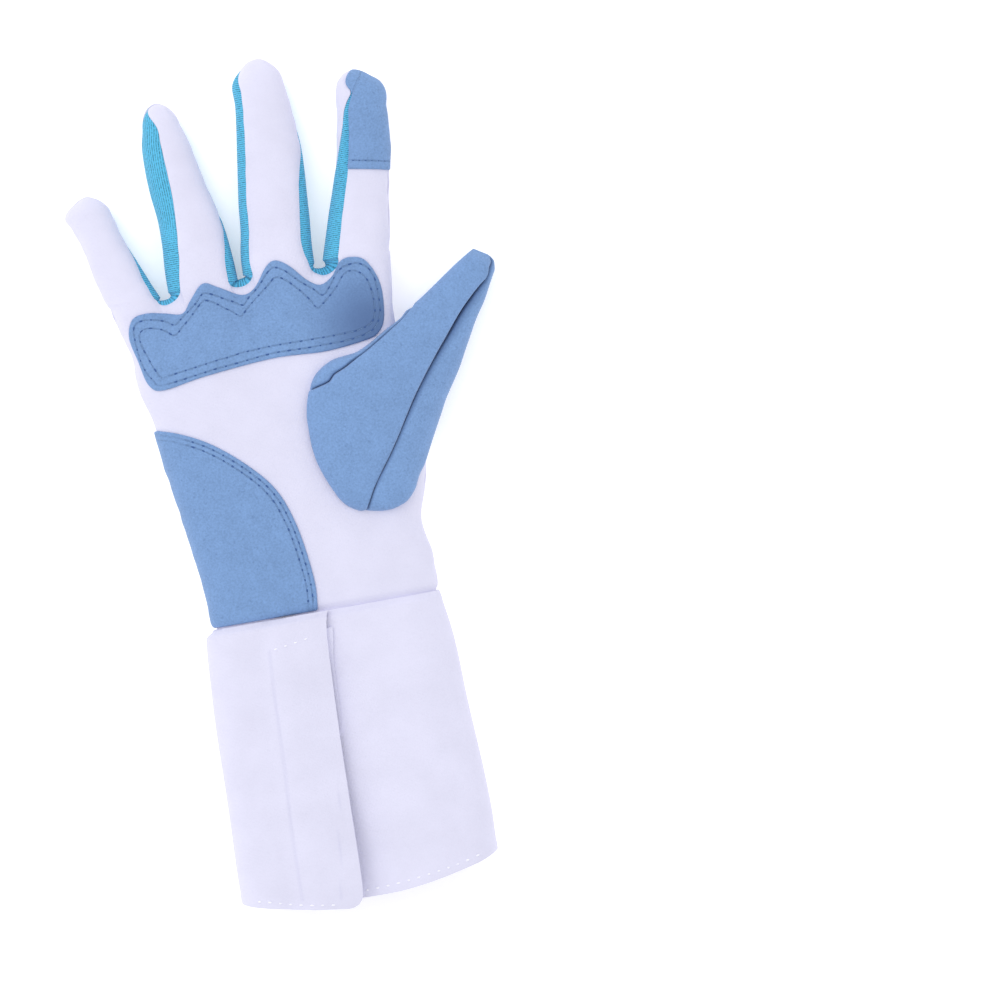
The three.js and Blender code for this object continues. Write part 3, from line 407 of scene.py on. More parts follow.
def ring(section, degrees, inset):
    """Points across a section: a squared ellipse with its own swell above and below."""
    across = np.cos(np.radians(degrees))
    upper = np.sin(np.radians(degrees)) >= 0
    side = section["side"]
    reach = np.maximum(section["half"] - inset, 0) * across
    swell = np.maximum(section["rise"] - inset, 0) * crest(across, section["top"])
    sag = np.maximum(section["drop"] * FLATTEN - inset, 0) * crest(across, section["back"])
    under = np.maximum(side - sag, np.minimum(inset, side))
    return section["middle"] + reach, np.where(upper, side + swell, under)


def points_of(x, y, z):
    return np.stack(np.broadcast_arrays(x, y, z), -1).astype(float)


# Fingers


def root_left(index):
    start = PALM_ROWS["left"][-1] * KNUCKLE_WIDTH
    return start + sum(f["width"] + WEB_GAP for f in FINGERS[:index])


def finger_section(index, share, inset):
    f = FINGERS[index]
    left, right = (along(f["rows"], side, share) * f["width"] for side in ("left", "right"))
    cap_share = np.maximum(0, (share - f["cap"]) / (1 - f["cap"]))
    shrink = crest(cap_share, CAP)
    cap_length = (1 - f["cap"]) * f["length"]
    run = np.minimum(share, f["cap"]) * f["length"] + cap_share * (cap_length - inset)
    height = along(f["rows"], "thick", share) * f["thickness"]
    axis = root_left(index) + f["width"] / 2 + f["lean"] * share
    return {
        "y": f["root"] * HAND_LENGTH + run,
        "middle": axis + (left + right) / 2,
        "half": ((right - left) / 2 - inset) * shrink + inset,
        "side": height * FINGER_SIDE,
        "rise": (height * (1 - FINGER_SIDE) - inset) * shrink + inset,
        "drop": (height * FINGER_SIDE - inset) * shrink + inset,
        "top": FINGER_TOP,
        "back": FINGER_BACK,
    }


def finger_point(index, share, degrees, inset):
    section = finger_section(index, share, inset)
    x, z = ring(section, degrees, inset)
    return points_of(x, section["y"], z)


def finger_shares(index):
    cap = FINGERS[index]["cap"]
    straight = np.linspace(0, cap, FINGER_STEPS, endpoint=False)
    end = cap + (1 - cap) * np.sin(np.linspace(0, math.pi / 2, CAP_STEPS + 1))
    return np.concatenate([straight, end])


def seam_angle(index, share, front, side):
    column = ("front_" if front else "back_") + side
    return along(FINGERS[index]["rows"], column, share)


def panel_angles(index, share, front):
    """The angles a panel spans on a finger, from its left seam to its right one."""
    widest = finger_section(index, np.minimum(share, TRIM_END), 0)["half"]
    trim = np.degrees(SEAM_GAP / 2 / widest) * (1 if front else -1)
    left = seam_angle(index, share, front, "left") - trim
    right = seam_angle(index, share, front, "right") + trim
    return left, right if front else right + 360


def panel_points(index, share, front, inset, shares):
    left, right = panel_angles(index, share, front)
    return finger_point(index, share, mix(left, right, shares), inset)


def web_seam(index, share, front, inset):
    """The seam across the web between two fingers."""
    start = panel_points(index, 0.0, front, inset, np.ones(1))
    end = panel_points(index + 1, 0.0, front, inset, np.zeros(1))
    swing = np.sin(np.pi * share)
    points = mix(start, end, ((1 - np.cos(np.pi * share)) / 2)[:, None])
    points[:, 1] -= (WEB_DEPTHS[index] + inset * WEB_INSET) * swing
    target = WEB_FRONT - inset * WEB_INSET if front else WEB_BACK + inset * WEB_INSET
    points[:, 2] = mix(points[:, 2], target, swing)
    return points


# Palm and back


def palm_edge(y, side):
    return along(PALM_ROWS, side, y / HAND_LENGTH) * KNUCKLE_WIDTH


def palm_crown(y):
    return along(PALM_ROWS, "crown", y / HAND_LENGTH) * PALM_THICKNESS


def palm_point(across, y, front, inset):
    """Points of the palm or the back, drawn in where they are tucked into the cuff."""
    clear = CUFF_CLOTH + SEAM_GAP
    tuck = clear * (1 - smooth(y / TUCK))
    depth = inset + np.maximum(tuck - CUFF_STEP, 0)
    left, right = palm_edge(y, "left") + depth, palm_edge(y, "right") - depth
    swell = crest(2 * across - 1, PALM_TOP if front else PALM_BACK)
    if front:
        z = PALM_SIDE + (palm_crown(y) - PALM_SIDE - depth) * swell
    else:
        z = PALM_SIDE + (inset + tuck - PALM_SIDE * FLATTEN) * swell
    return points_of(mix(left, right, across), y, np.maximum(z, inset + tuck))


def hand_sheet(front, inset):
    """One side of the hand: palm rows up to the finger roots, then four fingers."""
    shares = np.linspace(0, 1, FINGER_COLUMNS + 1)
    web = np.arange(1, WEB_STEPS) / WEB_STEPS
    roots, levels = [], []
    for index, f in enumerate(FINGERS):
        roots.append(panel_points(index, 0.0, front, inset, shares))
        levels.append(np.full(len(shares), f["root"]))
        if index + 1 < len(FINGERS):
            roots.append(web_seam(index, web, front, inset))
            levels.append(mix(f["root"], FINGERS[index + 1]["root"], web))
    roots, levels = np.concatenate(roots), np.concatenate(levels) * HAND_LENGTH
    across = (roots[:, 0] - roots[0, 0]) / (roots[-1, 0] - roots[0, 0])
    reach = np.exp(-(((roots[:, :1] - roots[None, :, 0]) / VALLEY_SOFTNESS) ** 2))
    weight = reach * np.gradient(roots[:, 0])
    soft = (weight * roots[:, 2]).sum(1) / weight.sum(1)
    soft = mix(roots[:, 2], soft, smooth(np.minimum(across, 1 - across) / SOFT_SIDE))
    rows = [np.full(len(levels), level) for level in np.linspace(-TUCK, TUCK, TUCK_STEPS + 1)[:-1]]
    rows += [mix(TUCK, levels, share) for share in np.linspace(0, 1, PALM_STEPS + 1)[:-1]]
    points = []
    for level in rows:
        y = level + (roots[:, 1] - levels) * (np.maximum(level, 0) / levels) ** ROOT_BEND
        row = palm_point(across, y, front, inset)
        lobe = smooth(1 - (levels - y) / LOBE_LENGTH)
        crease = smooth(1 - (levels - y) / CREASE_LENGTH)
        row[:, 2] = mix(row[:, 2], mix(soft, roots[:, 2], crease), lobe)
        points.append(row)
    points.append(roots)
    triangles = [band(r * len(roots), (r + 1) * len(roots), len(roots)) for r in range(len(rows))]
    start = len(rows) * len(roots)
    count = start + len(roots)
    for index in range(len(FINGERS)):
        below = start + index * (FINGER_COLUMNS + WEB_STEPS)
        for share in finger_shares(index)[1:-1]:
            points.append(panel_points(index, share, front, inset, shares))
            triangles.append(band(below, count, len(shares)))
            below = count
            count += len(shares)
        points.append(finger_point(index, 1.0, 90.0, inset)[None])
        fan = below + np.arange(FINGER_COLUMNS)
        triangles.append(np.stack([fan, fan + 1, np.full_like(fan, count)], 1))
        count += 1
    triangles = np.concatenate(triangles)
    return np.concatenate(points), triangles if front else triangles[:, ::-1]


def band(below, above, count):
    """Triangles between two rows of as many points, given each row's first point."""
    a, d = below + np.arange(count - 1), above + np.arange(count - 1)
    return np.concatenate([np.stack([a, a + 1, d + 1], 1), np.stack([a, d + 1, d], 1)])


def grid(rows, columns):
    return np.concatenate([band(r * columns, (r + 1) * columns, columns) for r in range(rows - 1)])


# Gussets


def gusset_sheet(index, inset):
    """The knit strip down the side of one finger, round the web and up the next."""
    shares = np.linspace(0, 1, GUSSET_COLUMNS + 1)

    def on_side(finger, side, at):
        seams = [seam_angle(finger, at, front, side) for front in (True, False)]
        ends = [finger_point(finger, at, angle, 0) for angle in seams]
        trim = min(SEAM_GAP / np.linalg.norm(ends[0] - ends[1]), MOST_TRIM)
        return finger_point(finger, at, mix(*seams, mix(trim, 1 - trim, shares)), inset)

    first, last = finger_shares(index)[:-1], finger_shares(index + 1)[:-1]
    rows = [on_side(index, "right", share) for share in first[::-1]]
    roots = [on_side(index, "right", 0.0), on_side(index + 1, "left", 0.0)]
    for web in np.arange(1, WEB_STEPS) / WEB_STEPS:
        place = np.array([web])
        front, back = web_seam(index, place, True, inset), web_seam(index, place, False, inset)
        chord = [
            [web_seam(index, np.array([end]), f, inset)[0, 0] for f in (True, False)]
            for end in (0.0, 1.0)
        ]
        bow = [roots[side][:, 0] - mix(*chord[side], shares) for side in (0, 1)]
        row = mix(front, back, shares[:, None])
        row[:, 0] += mix(*bow, web) * abs(math.cos(math.pi * web))
        row[:, 1] += WEB_BULGES[index] * 4 * shares * (1 - shares) * math.sin(math.pi * web)
        rows.append(row)
    rows += [on_side(index + 1, "left", share) for share in last]
    return np.concatenate(rows), grid(len(rows), len(shares))[:, ::-1]


# Cuff


def cuff_section(share):
    fit = smooth(share / CUFF_ROWS["at"][0])
    left, right, crown = (along(CUFF_ROWS, column, share) for column in ("left", "right", "crown"))
    left = mix(palm_edge(0, "left") - CUFF_STEP, left * CUFF_WIDTH, fit)
    right = mix(palm_edge(0, "right") + CUFF_STEP, right * CUFF_WIDTH, fit)
    crown = mix(palm_crown(0) + CUFF_STEP, crown * CUFF_THICKNESS, fit)
    side = mix(PALM_SIDE, crown * CUFF_SIDE, smooth(share))
    return {
        "middle": (left + right) / 2,
        "half": (right - left) / 2,
        "side": side,
        "rise": crown - side,
        "drop": side,
        "top": PALM_TOP,
        "back": PALM_BACK,
    }


def cuff_point(share, reach, degrees, inset, valley):
    x, z = ring(cuff_section(share * reach), degrees, inset)
    dip = valley * share * VALLEY_DEPTH * np.exp(-(((x - FLAP_EDGE) / VALLEY_WIDTH) ** 2))
    upper = np.sin(np.radians(degrees)) > 0
    return points_of(x, -share * reach * CUFF_LENGTH, np.where(upper, z - dip, z))


def bunched(start, end, steps):
    """Angles from start to end, more closely spaced at the section's two sides."""

    def bend(degrees, power):
        across = np.cos(np.radians(degrees))
        angle = np.degrees(np.arccos(np.sign(across) * np.abs(across) ** power))
        turn = np.floor(degrees / 180)
        return np.where(turn % 2 == 1, (turn + 1) * 180 - angle, turn * 180 + angle)

    low, high = bend(start, 1 / CUFF_BUNCH), bend(end, 1 / CUFF_BUNCH)
    return bend(np.linspace(low, high, steps + 1), CUFF_BUNCH)


def angle_of(x, section):
    return np.degrees(np.arccos((x - section["middle"]) / section["half"]))


def cuff_body(inset):
    rows = []
    for share in np.linspace(0, 1, CUFF_STEPS + 1):
        start = angle_of(FLAP_EDGE - UNDERLAP, cuff_section(share))
        degrees = bunched(start, FLAP_ROOT - 360 + ROOT_CLEARANCE, CUFF_COLUMNS)
        reach = along(CUFF_HEM, "reach", degrees)
        rows.append(cuff_point(share, reach, degrees, inset, 1))
    return np.concatenate(rows), grid(CUFF_STEPS + 1, CUFF_COLUMNS + 1)[:, ::-1]


def cuff_flap(inset):
    corner = 1 - FLAP_CORNER / CUFF_LENGTH
    clear = CUFF_CLOTH + SEAM_GAP + FLAP_LIFT
    bend = np.linspace(0, math.pi / 2, END_STEPS + 1)
    shares = np.append(np.linspace(0, corner, CUFF_STEPS)[:-1], mix(corner, 1, np.sin(bend)))
    rows = []
    for share in shares:
        turned = 1 - crest(max(0, (share - corner) / (1 - corner)), 2)
        edge = along(FLAP_EDGE_ROWS, "x", share)
        start = angle_of(edge - turned * FLAP_CORNER, cuff_section(share))
        degrees = bunched(start, FLAP_ROOT - ROOT_CLEARANCE, FLAP_COLUMNS)
        over = smooth((start + FLAP_OVER - degrees) / FLAP_SLOPE + 1)
        reach = along(FLAP_HEM, "reach", degrees)
        depth = inset * mix(CUFF_CLOTH / FLAP_CLOTH, 1, smooth(share / FLAP_THINNED))
        rows.append(cuff_point(share, reach, degrees, depth - over * clear, 0))
    return np.concatenate(rows), grid(len(shares), FLAP_COLUMNS + 1)


# Thumb

THUMB_ORIGIN = np.array([THUMB_START[0] * KNUCKLE_WIDTH, THUMB_START[1] * HAND_LENGTH])
THUMB_AHEAD = np.array([math.cos(math.radians(THUMB_AXIS)), math.sin(math.radians(THUMB_AXIS))])
THUMB_RIGHT = np.array([THUMB_AHEAD[1], -THUMB_AHEAD[0]])


def thumb_table(column, share):
    return along(THUMB_ROWS, column, share) * THUMB_THICKNESS


def heel_share(share):
    """How far round the heel a share of the length is: 0 before it, 1 at its end."""
    return np.maximum(0, -share / THUMB_HEEL)


def thumb_line(name, share):
    """An edge or seam of the thumb from its axis, which runs on straight behind its first row."""
    table = THUMB_LINES[name]
    at, x = table["at"], table["x"]
    slope = (x[1] - x[0]) / (at[1] - at[0])
    return (along(table, "x", share) + np.minimum(share - at[0], 0) * slope) * THUMB_WIDTH


def thumb_heights(share, across, inset):
    """Heights of the thumb's upper and lower surface over the table."""
    shrink = crest(heel_share(share), HEEL_ROUND)
    edge = mix(thumb_table("left_z", share), thumb_table("right_z", share), (across + 1) / 2)
    swells = []
    for column in ("rise", "drop"):
        swell = (thumb_table(column, share) - inset) * shrink
        swells.append(np.maximum(swell, 0) * crest(across, THUMB_ROUND))
    return edge + swells[0], edge - swells[1]


def thumb_span(share, inset):
    """The middle and half width of the thumb at a share of its length."""
    shrink = crest(heel_share(share), HEEL_ROUND)
    left, right = thumb_line("left", share), thumb_line("right", share)
    return (left + right) / 2, ((right - left) / 2 - inset) * shrink


def thumb_point(share, degrees, inset):
    across = np.cos(np.radians(degrees))
    middle, half = thumb_span(share, inset)
    top, under = thumb_heights(share, across, inset)
    near_tip = np.maximum(0, (share - 1) / THUMB_END + 1)
    end = (near_tip - heel_share(share)) * inset + TIP_SLANT * near_tip * (1 - across) / 2
    place = (
        THUMB_ORIGIN
        + (share * THUMB_LENGTH - end)[..., None] * THUMB_AHEAD
        + (middle + half * across)[..., None] * THUMB_RIGHT
    )
    z = np.where(np.sin(np.radians(degrees)) >= 0, top, under)
    return points_of(place[..., 0], place[..., 1], z)


def thumb_sheet(start, end, inset):
    """A strip of the thumb between two seams, with its columns crowded at both."""
    heel = -THUMB_HEEL * np.sin(np.linspace(math.pi / 2, 0, HEEL_STEPS)[:-1])
    tip = mix(THUMB_TIP, 1, np.sin(np.linspace(0, math.pi / 2, END_STEPS + 1)))
    shares = np.concatenate([heel, np.linspace(0, THUMB_TIP, THUMB_STEPS)[:-1], tip])[:, None]
    spread = (1 - np.cos(np.linspace(0, math.pi, THUMB_COLUMNS + 1))) / 2
    columns = mix(np.linspace(0, 1, THUMB_COLUMNS + 1), spread, THUMB_BUNCH)[None]
    share = shares + 0 * columns
    degrees = mix(start(share), end(share), columns)
    points = thumb_point(share, degrees, inset)
    return points.reshape(-1, 3), grid(len(shares), THUMB_COLUMNS + 1)[:, ::-1]


def seam_turn(name, share, least, most):
    """The angle round the thumb of one of its seams."""
    middle, half = thumb_span(share, 0)
    lean = (thumb_line(name, share) - middle) / np.maximum(half, THIN_SEAM)
    return np.degrees(np.arccos(np.clip(lean, least, most)))


def short_seam(share):
    return seam_turn("short", share, -EDGE_LEAN, SEAM_LEAN)


def long_seam(share):
    return seam_turn("long", share, -SEAM_LEAN, SEAM_LEAN)


def inside_thumb(points):
    """How far points are inside the thumb's tube, below zero inside it."""
    offset = points[:, :2] - THUMB_ORIGIN
    share = offset @ THUMB_AHEAD / THUMB_LENGTH
    middle, half = thumb_span(np.clip(share, -THUMB_HEEL, 1), 0)
    lateral = offset @ THUMB_RIGHT - middle
    across = lateral / np.maximum(half, THIN_THUMB)
    top, under = thumb_heights(np.clip(share, -THUMB_HEEL, 1), np.clip(across, -1, 1), 0)
    beyond = np.maximum(-THUMB_HEEL - share, share - 1) * THUMB_LENGTH
    sides = [np.abs(lateral) - half, beyond, points[:, 2] - top, under - points[:, 2]]
    return np.max(sides, axis=0)


# Meshes

TINY = 1e-9
WAVES = 10  # that make up an unevenness
WAVE_SPREAD = (0.7, 1.6)  # their lengths as shares of the given one


def normals(points, triangles):
    corners = points[triangles]
    faces = np.cross(corners[:, 1] - corners[:, 0], corners[:, 2] - corners[:, 0])
    total = np.zeros_like(points)
    for corner in range(3):
        np.add.at(total, triangles[:, corner], faces)
    return total / np.maximum(np.linalg.norm(total, axis=1, keepdims=True), TINY)


def rim_edges(triangles):
    """The edges of a sheet that only one of its triangles has."""
    edges = np.concatenate([triangles[:, [0, 1]], triangles[:, [1, 2]], triangles[:, [2, 0]]])
    size = int(edges.max()) + 1
    twin = edges[:, 1] * size + edges[:, 0]
    return edges[~np.isin(twin, edges[:, 0] * size + edges[:, 1])]


def wall(outer, inner, triangles):
    """A closed wall between an outer and an inner copy of one sheet."""
    count = len(outer)
    a, b = rim_edges(triangles).T
    sides = [np.stack([b, a, a + count], 1), np.stack([b, a + count, b + count], 1)]
    faces = np.concatenate([triangles, triangles[:, ::-1] + count, *sides])
    return np.concatenate([outer, inner]), faces


def split(data, triangles, level):
    """Cuts triangles along the zero line of level. data has a row of numbers for each point, and
    gets rows for the new points. Returns it with the triangles below zero and those above."""
    below = level < 0
    counts = below[triangles].sum(1)
    parts = {True: [triangles[counts == 3]], False: [triangles[counts == 0]]}
    rows, cut = [], {}

    def crossing(a, b):
        key = (min(a, b), max(a, b))
        if key not in cut:
            share = level[key[0]] / (level[key[0]] - level[key[1]])
            cut[key] = len(data) + len(rows)
            rows.append(mix(data[key[0]], data[key[1]], share))
        return cut[key]

    for triangle in triangles[(counts == 1) | (counts == 2)]:
        lone = bool(below[triangle].sum() == 1)
        turn = int(np.flatnonzero(below[triangle] == lone)[0])
        a, b, c = np.roll(triangle, -turn)
        ab, ac = crossing(a, b), crossing(a, c)
        parts[lone].append([[a, ab, ac]])
        parts[not lone].append([[ab, b, c], [ab, c, ac]])
    data = np.concatenate([data, rows]) if rows else data
    return data, np.concatenate(parts[True]).astype(int), np.concatenate(parts[False]).astype(int)


def compact(data, triangles):
    used, index = np.unique(triangles, return_inverse=True)
    return data[used], index.reshape(-1, 3)


def nearest(points, curve):
    """Distance from each point to the nearest point of a curve, and that point's number."""
    tree = KDTree(len(curve))
    for i, point in enumerate(curve):
        tree.insert(point, i)
    tree.balance()
    found = [tree.find(point) for point in points]
    return np.array([f[2] for f in found]), np.array([f[1] for f in found])


def sampled(curve, step):
    """Points along a polyline at even steps, and how far along it each one is."""
    lengths = np.linalg.norm(np.diff(curve, axis=0), axis=1)
    marks = np.append(0, np.cumsum(lengths))
    at = np.arange(0, marks[-1], step)
    return np.stack([np.interp(at, marks, column) for column in curve.T], 1), at


def ripple(points, seed, length):
    """A gentle seeded unevenness between about -1 and 1, with waves near a given length."""
    rng = np.random.default_rng(seed)
    total = np.zeros(len(points))
    for _ in range(WAVES):
        way = rng.normal(size=3) * (1, 1, 0.5)
        way *= 2 * math.pi / (length * rng.uniform(*WAVE_SPREAD)) / np.linalg.norm(way)
        total += np.sin(points @ way + rng.uniform(0, 2 * math.pi))
    return total / math.sqrt(WAVES)


# The pattern's place in the frame
front_flat = hand_sheet(True, 0)[0]
palm_low, palm_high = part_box("palm_panel")
SHIFT = np.array(
    [palm_low.x * 1000 - front_flat[:, 0].min(), palm_high.y * 1000 - front_flat[:, 1].max(), 0]
)


def to_frame(points):
    return (np.asarray(points) + SHIFT) / 1000


# Materials

# Grain sizes and reliefs of the cloths, in millimetres
WEAVE = 0.6
WEAVE_RELIEF = 0.06
FUZZ = 0.9
FUZZ_RELIEF = 0.16
CLOUDS = 14
PATCHES = 7
NAP = 0.8
SPECKS = 1.1
SPECK_STRENGTH = 0.14
GRAIN = 0.35
GRAIN_RELIEF = 0.14
LINE_DEPTH = 1.5  # of a stitched or sewn line, in the grain's relief
RIBS_ALONG = 0.95
RIBS_ACROSS = 0.85
LOOPS = 0.7
RIB_RELIEF = 0.3

COTTON = (0.705, 0.7, 0.86)
# Painted shade for the flap's creases, and the width of its two faint lines
COTTON_SHADE = (0.52, 0.52, 0.72)
CREASE_WIDTH = 1.3  # of the two faint lines down the flap
SUEDE_BLUE = (0.184, 0.314, 0.572)
# Dark fibre specks, and the painted shade in the suede's seams, creases and stitched lines
SPECK_AND_SEAM_SHADE = (0.018, 0.048, 0.16)
SUEDE_SHADE = (0.085, 0.15, 0.32)
SEAM_SHADE = 3.0  # width of the shaded band beside the thumb's long seam
KNIT_BLUE = (0.086, 0.41, 0.64)
# The dark blue of the painted shade in the needle holes
HOLE_SHADE_BLUE = (0.055, 0.118, 0.31)
THREAD_WHITE = (0.87, 0.87, 0.96)
# The middle of the painted shade at the knuckle patch's darker end and how far that reaches, in
# metres
SHADE_SPOT_PLACE = tuple(to_frame((37, 110, 20)))
SHADE_SPOT_REACH = 0.03
RIBS_TURN = (0.078, 0.092)  # where the ribs turn along the first strip, in metres


class Nodes:
    """Short ways to add nodes to one material and to link them."""

    def __init__(self, name, color, roughness, sheen):
        self.material = bpy.data.materials.new(name)
        self.material.use_nodes = True
        self.tree = self.material.node_tree
        self.shader = self.tree.nodes["Principled BSDF"]
        surface = {"Base Color": (*color, 1), "Roughness": roughness, "Specular IOR Level": 0.2}
        self.fill(self.shader, {**surface, "Sheen Weight": sheen, "Sheen Roughness": 0.5})
        self.place = self.add("ShaderNodeTexCoord").outputs["Object"]

    def fill(self, node, inputs):
        """Gives a node's inputs their values, or links them to other nodes."""
        for key, value in inputs.items():
            if isinstance(value, bpy.types.NodeSocket):
                self.tree.links.new(value, node.inputs[key])
            else:
                node.inputs[key].default_value = value

    def add(self, kind, inputs=None, **settings):
        node = self.tree.nodes.new(kind)
        for name, value in settings.items():
            setattr(node, name, value)
        self.fill(node, inputs or {})
        return node

    def noise(self, size, detail):
        """Noise with grains of a given size in millimetres."""
        inputs = {"Vector": self.place, "Scale": 1000 / size, "Detail": detail}
        return self.add("ShaderNodeTexNoise", inputs).outputs["Fac"]

    def wave(self, size, direction, place=None):
        """Ribs with a given spacing in millimetres."""
        scale = 1000 * math.pi / (10 * size)
        inputs = {"Vector": place or self.place, "Scale": scale, "Distortion": 0}
        return self.add("ShaderNodeTexWave", inputs, bands_direction=direction).outputs["Fac"]

    def math(self, operation, a, b=0):
        return self.add("ShaderNodeMath", {0: a, 1: b}, operation=operation).outputs[0]

    def distance(self, place):
        """The distance from a place in the frame."""
        inputs = {0: self.place, 1: place}
        return self.add("ShaderNodeVectorMath", inputs, operation="DISTANCE").outputs["Value"]

    def colors(self, factor, stops):
        """A colour ramp over a factor, from (position, colour) stops."""
        ramp = self.add("ShaderNodeValToRGB", {"Fac": factor})
        elements = ramp.color_ramp.elements
        while len(elements) < len(stops):
            elements.new(0.5)
        for element, (position, color) in zip(elements, stops):
            element.position = position
            element.color = (*color, 1)
        return ramp.outputs["Color"]

    def uv(self, name):
        """The two numbers of a UV map."""
        numbers = self.add("ShaderNodeUVMap", uv_map=name).outputs["UV"]
        return self.add("ShaderNodeSeparateXYZ", {0: numbers}).outputs[:2]

    def ramp(self, value, low, high):
        """A smooth step from 0 at low to 1 at high."""
        inputs = {"Value": value, "From Min": low, "From Max": high}
        return self.add("ShaderNodeMapRange", inputs, interpolation_type="SMOOTHSTEP").outputs[0]

    def bump(self, height, distance, before=None):
        inputs = {"Strength": 1, "Distance": distance / 1000, "Height": height}
        if before:
            inputs["Normal"] = before
        return self.add("ShaderNodeBump", inputs).outputs["Normal"]

    def toward(self, tone, color, factor, strength):
        """A tone drawn towards a colour where a factor is high."""
        inputs = {0: self.math("MULTIPLY", factor, strength), 6: tone, 7: (*color, 1)}
        return self.add("ShaderNodeMix", inputs, data_type="RGBA").outputs[2]

    def finish(self, color, normal):
        self.fill(self.shader, {"Base Color": color, "Normal": normal})
        return self.material


def tinted(color, factor):
    return tuple(min(channel * factor, 1) for channel in color)


def cotton_material(name, color, line=0.0):
    """Cotton cloth. Given a line, painted shade along two faint creases, by distances in "marks".
    """
    nodes = Nodes(name, color, roughness=0.95, sheen=0.1)
    weave = nodes.math("MULTIPLY", nodes.wave(WEAVE, "X"), nodes.wave(WEAVE, "Y"))
    fuzz = nodes.noise(FUZZ, 3)
    cloudy = nodes.noise(CLOUDS, 2)
    tone = nodes.colors(cloudy, [(0.3, tinted(color, 0.975)), (0.7, tinted(color, 1.02))])
    # painted shade along the flap's two creases
    if line:
        near = nodes.ramp(nodes.math("MINIMUM", *nodes.uv("marks")), CREASE_WIDTH / 1000, 0)
        tone = nodes.toward(tone, COTTON_SHADE, near, line)
    return nodes.finish(tone, nodes.bump(weave, WEAVE_RELIEF, nodes.bump(fuzz, FUZZ_RELIEF)))


def suede_material(name, color, line, width, spot=0.0, band=0.0):
    """Brushed suede, with painted shade along the two seams, creases or rows of stitches that its
    UV map "marks" holds distances from. line is how dark that painted shade is and width how wide,
    spot is the strength of a painted shaded place, and band that of a painted shaded strip along
    the first seam."""
    nodes = Nodes(name, color, roughness=0.95, sheen=0.2)
    patchy = nodes.math("MULTIPLY", nodes.noise(PATCHES, 3), 0.35)
    nap = nodes.math("ADD", nodes.noise(NAP, 4), patchy)
    stops = [(0.44, tinted(color, 0.85)), (0.68, color), (0.9, tinted(color, 1.13))]
    tone = nodes.colors(nap, stops)
    speck = nodes.ramp(nodes.noise(SPECKS, 0), 0.69, 0.78)
    tone = nodes.toward(tone, SPECK_AND_SEAM_SHADE, speck, SPECK_STRENGTH)
    if spot:
        # painted shade at the knuckle patch's darker end
        close = nodes.ramp(nodes.distance(SHADE_SPOT_PLACE), SHADE_SPOT_REACH, 0)
        tone = nodes.toward(tone, SUEDE_SHADE, close, spot)
    first, second = (nodes.math("ABSOLUTE", side) for side in nodes.uv("marks"))
    if band:
        # painted shade beside the long seam, where the right-hand leaf lies under the left one
        close = nodes.ramp(first, SEAM_SHADE / 1000, 0)
        tone = nodes.toward(tone, SUEDE_SHADE, close, band)
    # painted shade along the seams, creases and rows of stitches
    near = nodes.ramp(nodes.math("MINIMUM", first, second), width / 1000, 0)
    tone = nodes.toward(tone, SPECK_AND_SEAM_SHADE, near, line)
    grain = nodes.math("ADD", nodes.noise(GRAIN, 3), nodes.math("MULTIPLY", near, -LINE_DEPTH))
    return nodes.finish(tone, nodes.bump(grain, GRAIN_RELIEF))


def knit_material(name, color):
    """Ribbed knit, across the strip and, far up the ring finger, along it, by its map "strip"."""
    nodes = Nodes(name, color, roughness=0.85, sheen=0.2)
    uv = nodes.add("ShaderNodeUVMap", uv_map="strip").outputs["UV"]
    _, ahead = nodes.uv("strip")
    lengthwise = nodes.ramp(ahead, *RIBS_TURN)
    crosswise = nodes.math("SUBTRACT", 1.0, lengthwise)
    along_ribs = nodes.math("MULTIPLY", nodes.wave(RIBS_ALONG, "X", uv), lengthwise)
    across_ribs = nodes.math("MULTIPLY", nodes.wave(RIBS_ACROSS, "Y", uv), crosswise)
    ribs = nodes.math("ADD", along_ribs, across_ribs)
    loops = nodes.math("MULTIPLY", nodes.noise(LOOPS, 2), 0.9)
    height = nodes.math("ADD", nodes.math("MULTIPLY", ribs, 0.55), loops)
    # painted shade in the knit's hollows: the lower the rib or loop, the darker
    stops = [(0.32, tinted(color, 0.38)), (0.6, color), (0.9, tinted(color, 1.3))]
    return nodes.finish(nodes.colors(height, stops), nodes.bump(height, RIB_RELIEF))


def plain_material(name, color, roughness):
    return Nodes(name, color, roughness, sheen=0.1).material


cotton = cotton_material("cotton", COTTON)
cuff_cotton = cotton_material("cuff_cotton", COTTON)
# The flap's cotton is a touch darker than the cuff's: painted shade
flap_cotton = cotton_material("flap_cotton", tinted(COTTON, 0.97), line=0.28)
# The patches get faint painted shade along their rows of stitches
suede = suede_material("suede", SUEDE_BLUE, line=0.08, width=0.5)
knuckle_suede = suede_material("knuckle_suede", SUEDE_BLUE, line=0.08, width=0.5, spot=0.9)
# The thumb's two leaves, with painted shade along their seams
thumb_suede = suede_material("thumb_suede", tinted(SUEDE_BLUE, 1.02), line=0.9, width=0.55)
leaf_blue = tinted(SUEDE_BLUE, 1.03)
leaf_suede = suede_material("leaf_suede", leaf_blue, line=0.95, width=0.75, band=0.75)
knit = knit_material("knit", KNIT_BLUE)
blue_thread = plain_material("blue_thread", tinted(SUEDE_BLUE, 0.84), 0.8)
hole_shade_blue = plain_material("hole_shade_blue", HOLE_SHADE_BLUE, 0.9)
white_thread = plain_material("white_thread", THREAD_WHITE, 0.7)

# Pieces

SHARP_ANGLE = math.radians(50)
SKY = 500.0  # a height over everything, from which surfaces are looked for


def new_object(name, data):
    thing = bpy.data.objects.new(name, data)
    bpy.context.scene.collection.objects.link(thing)
    return thing


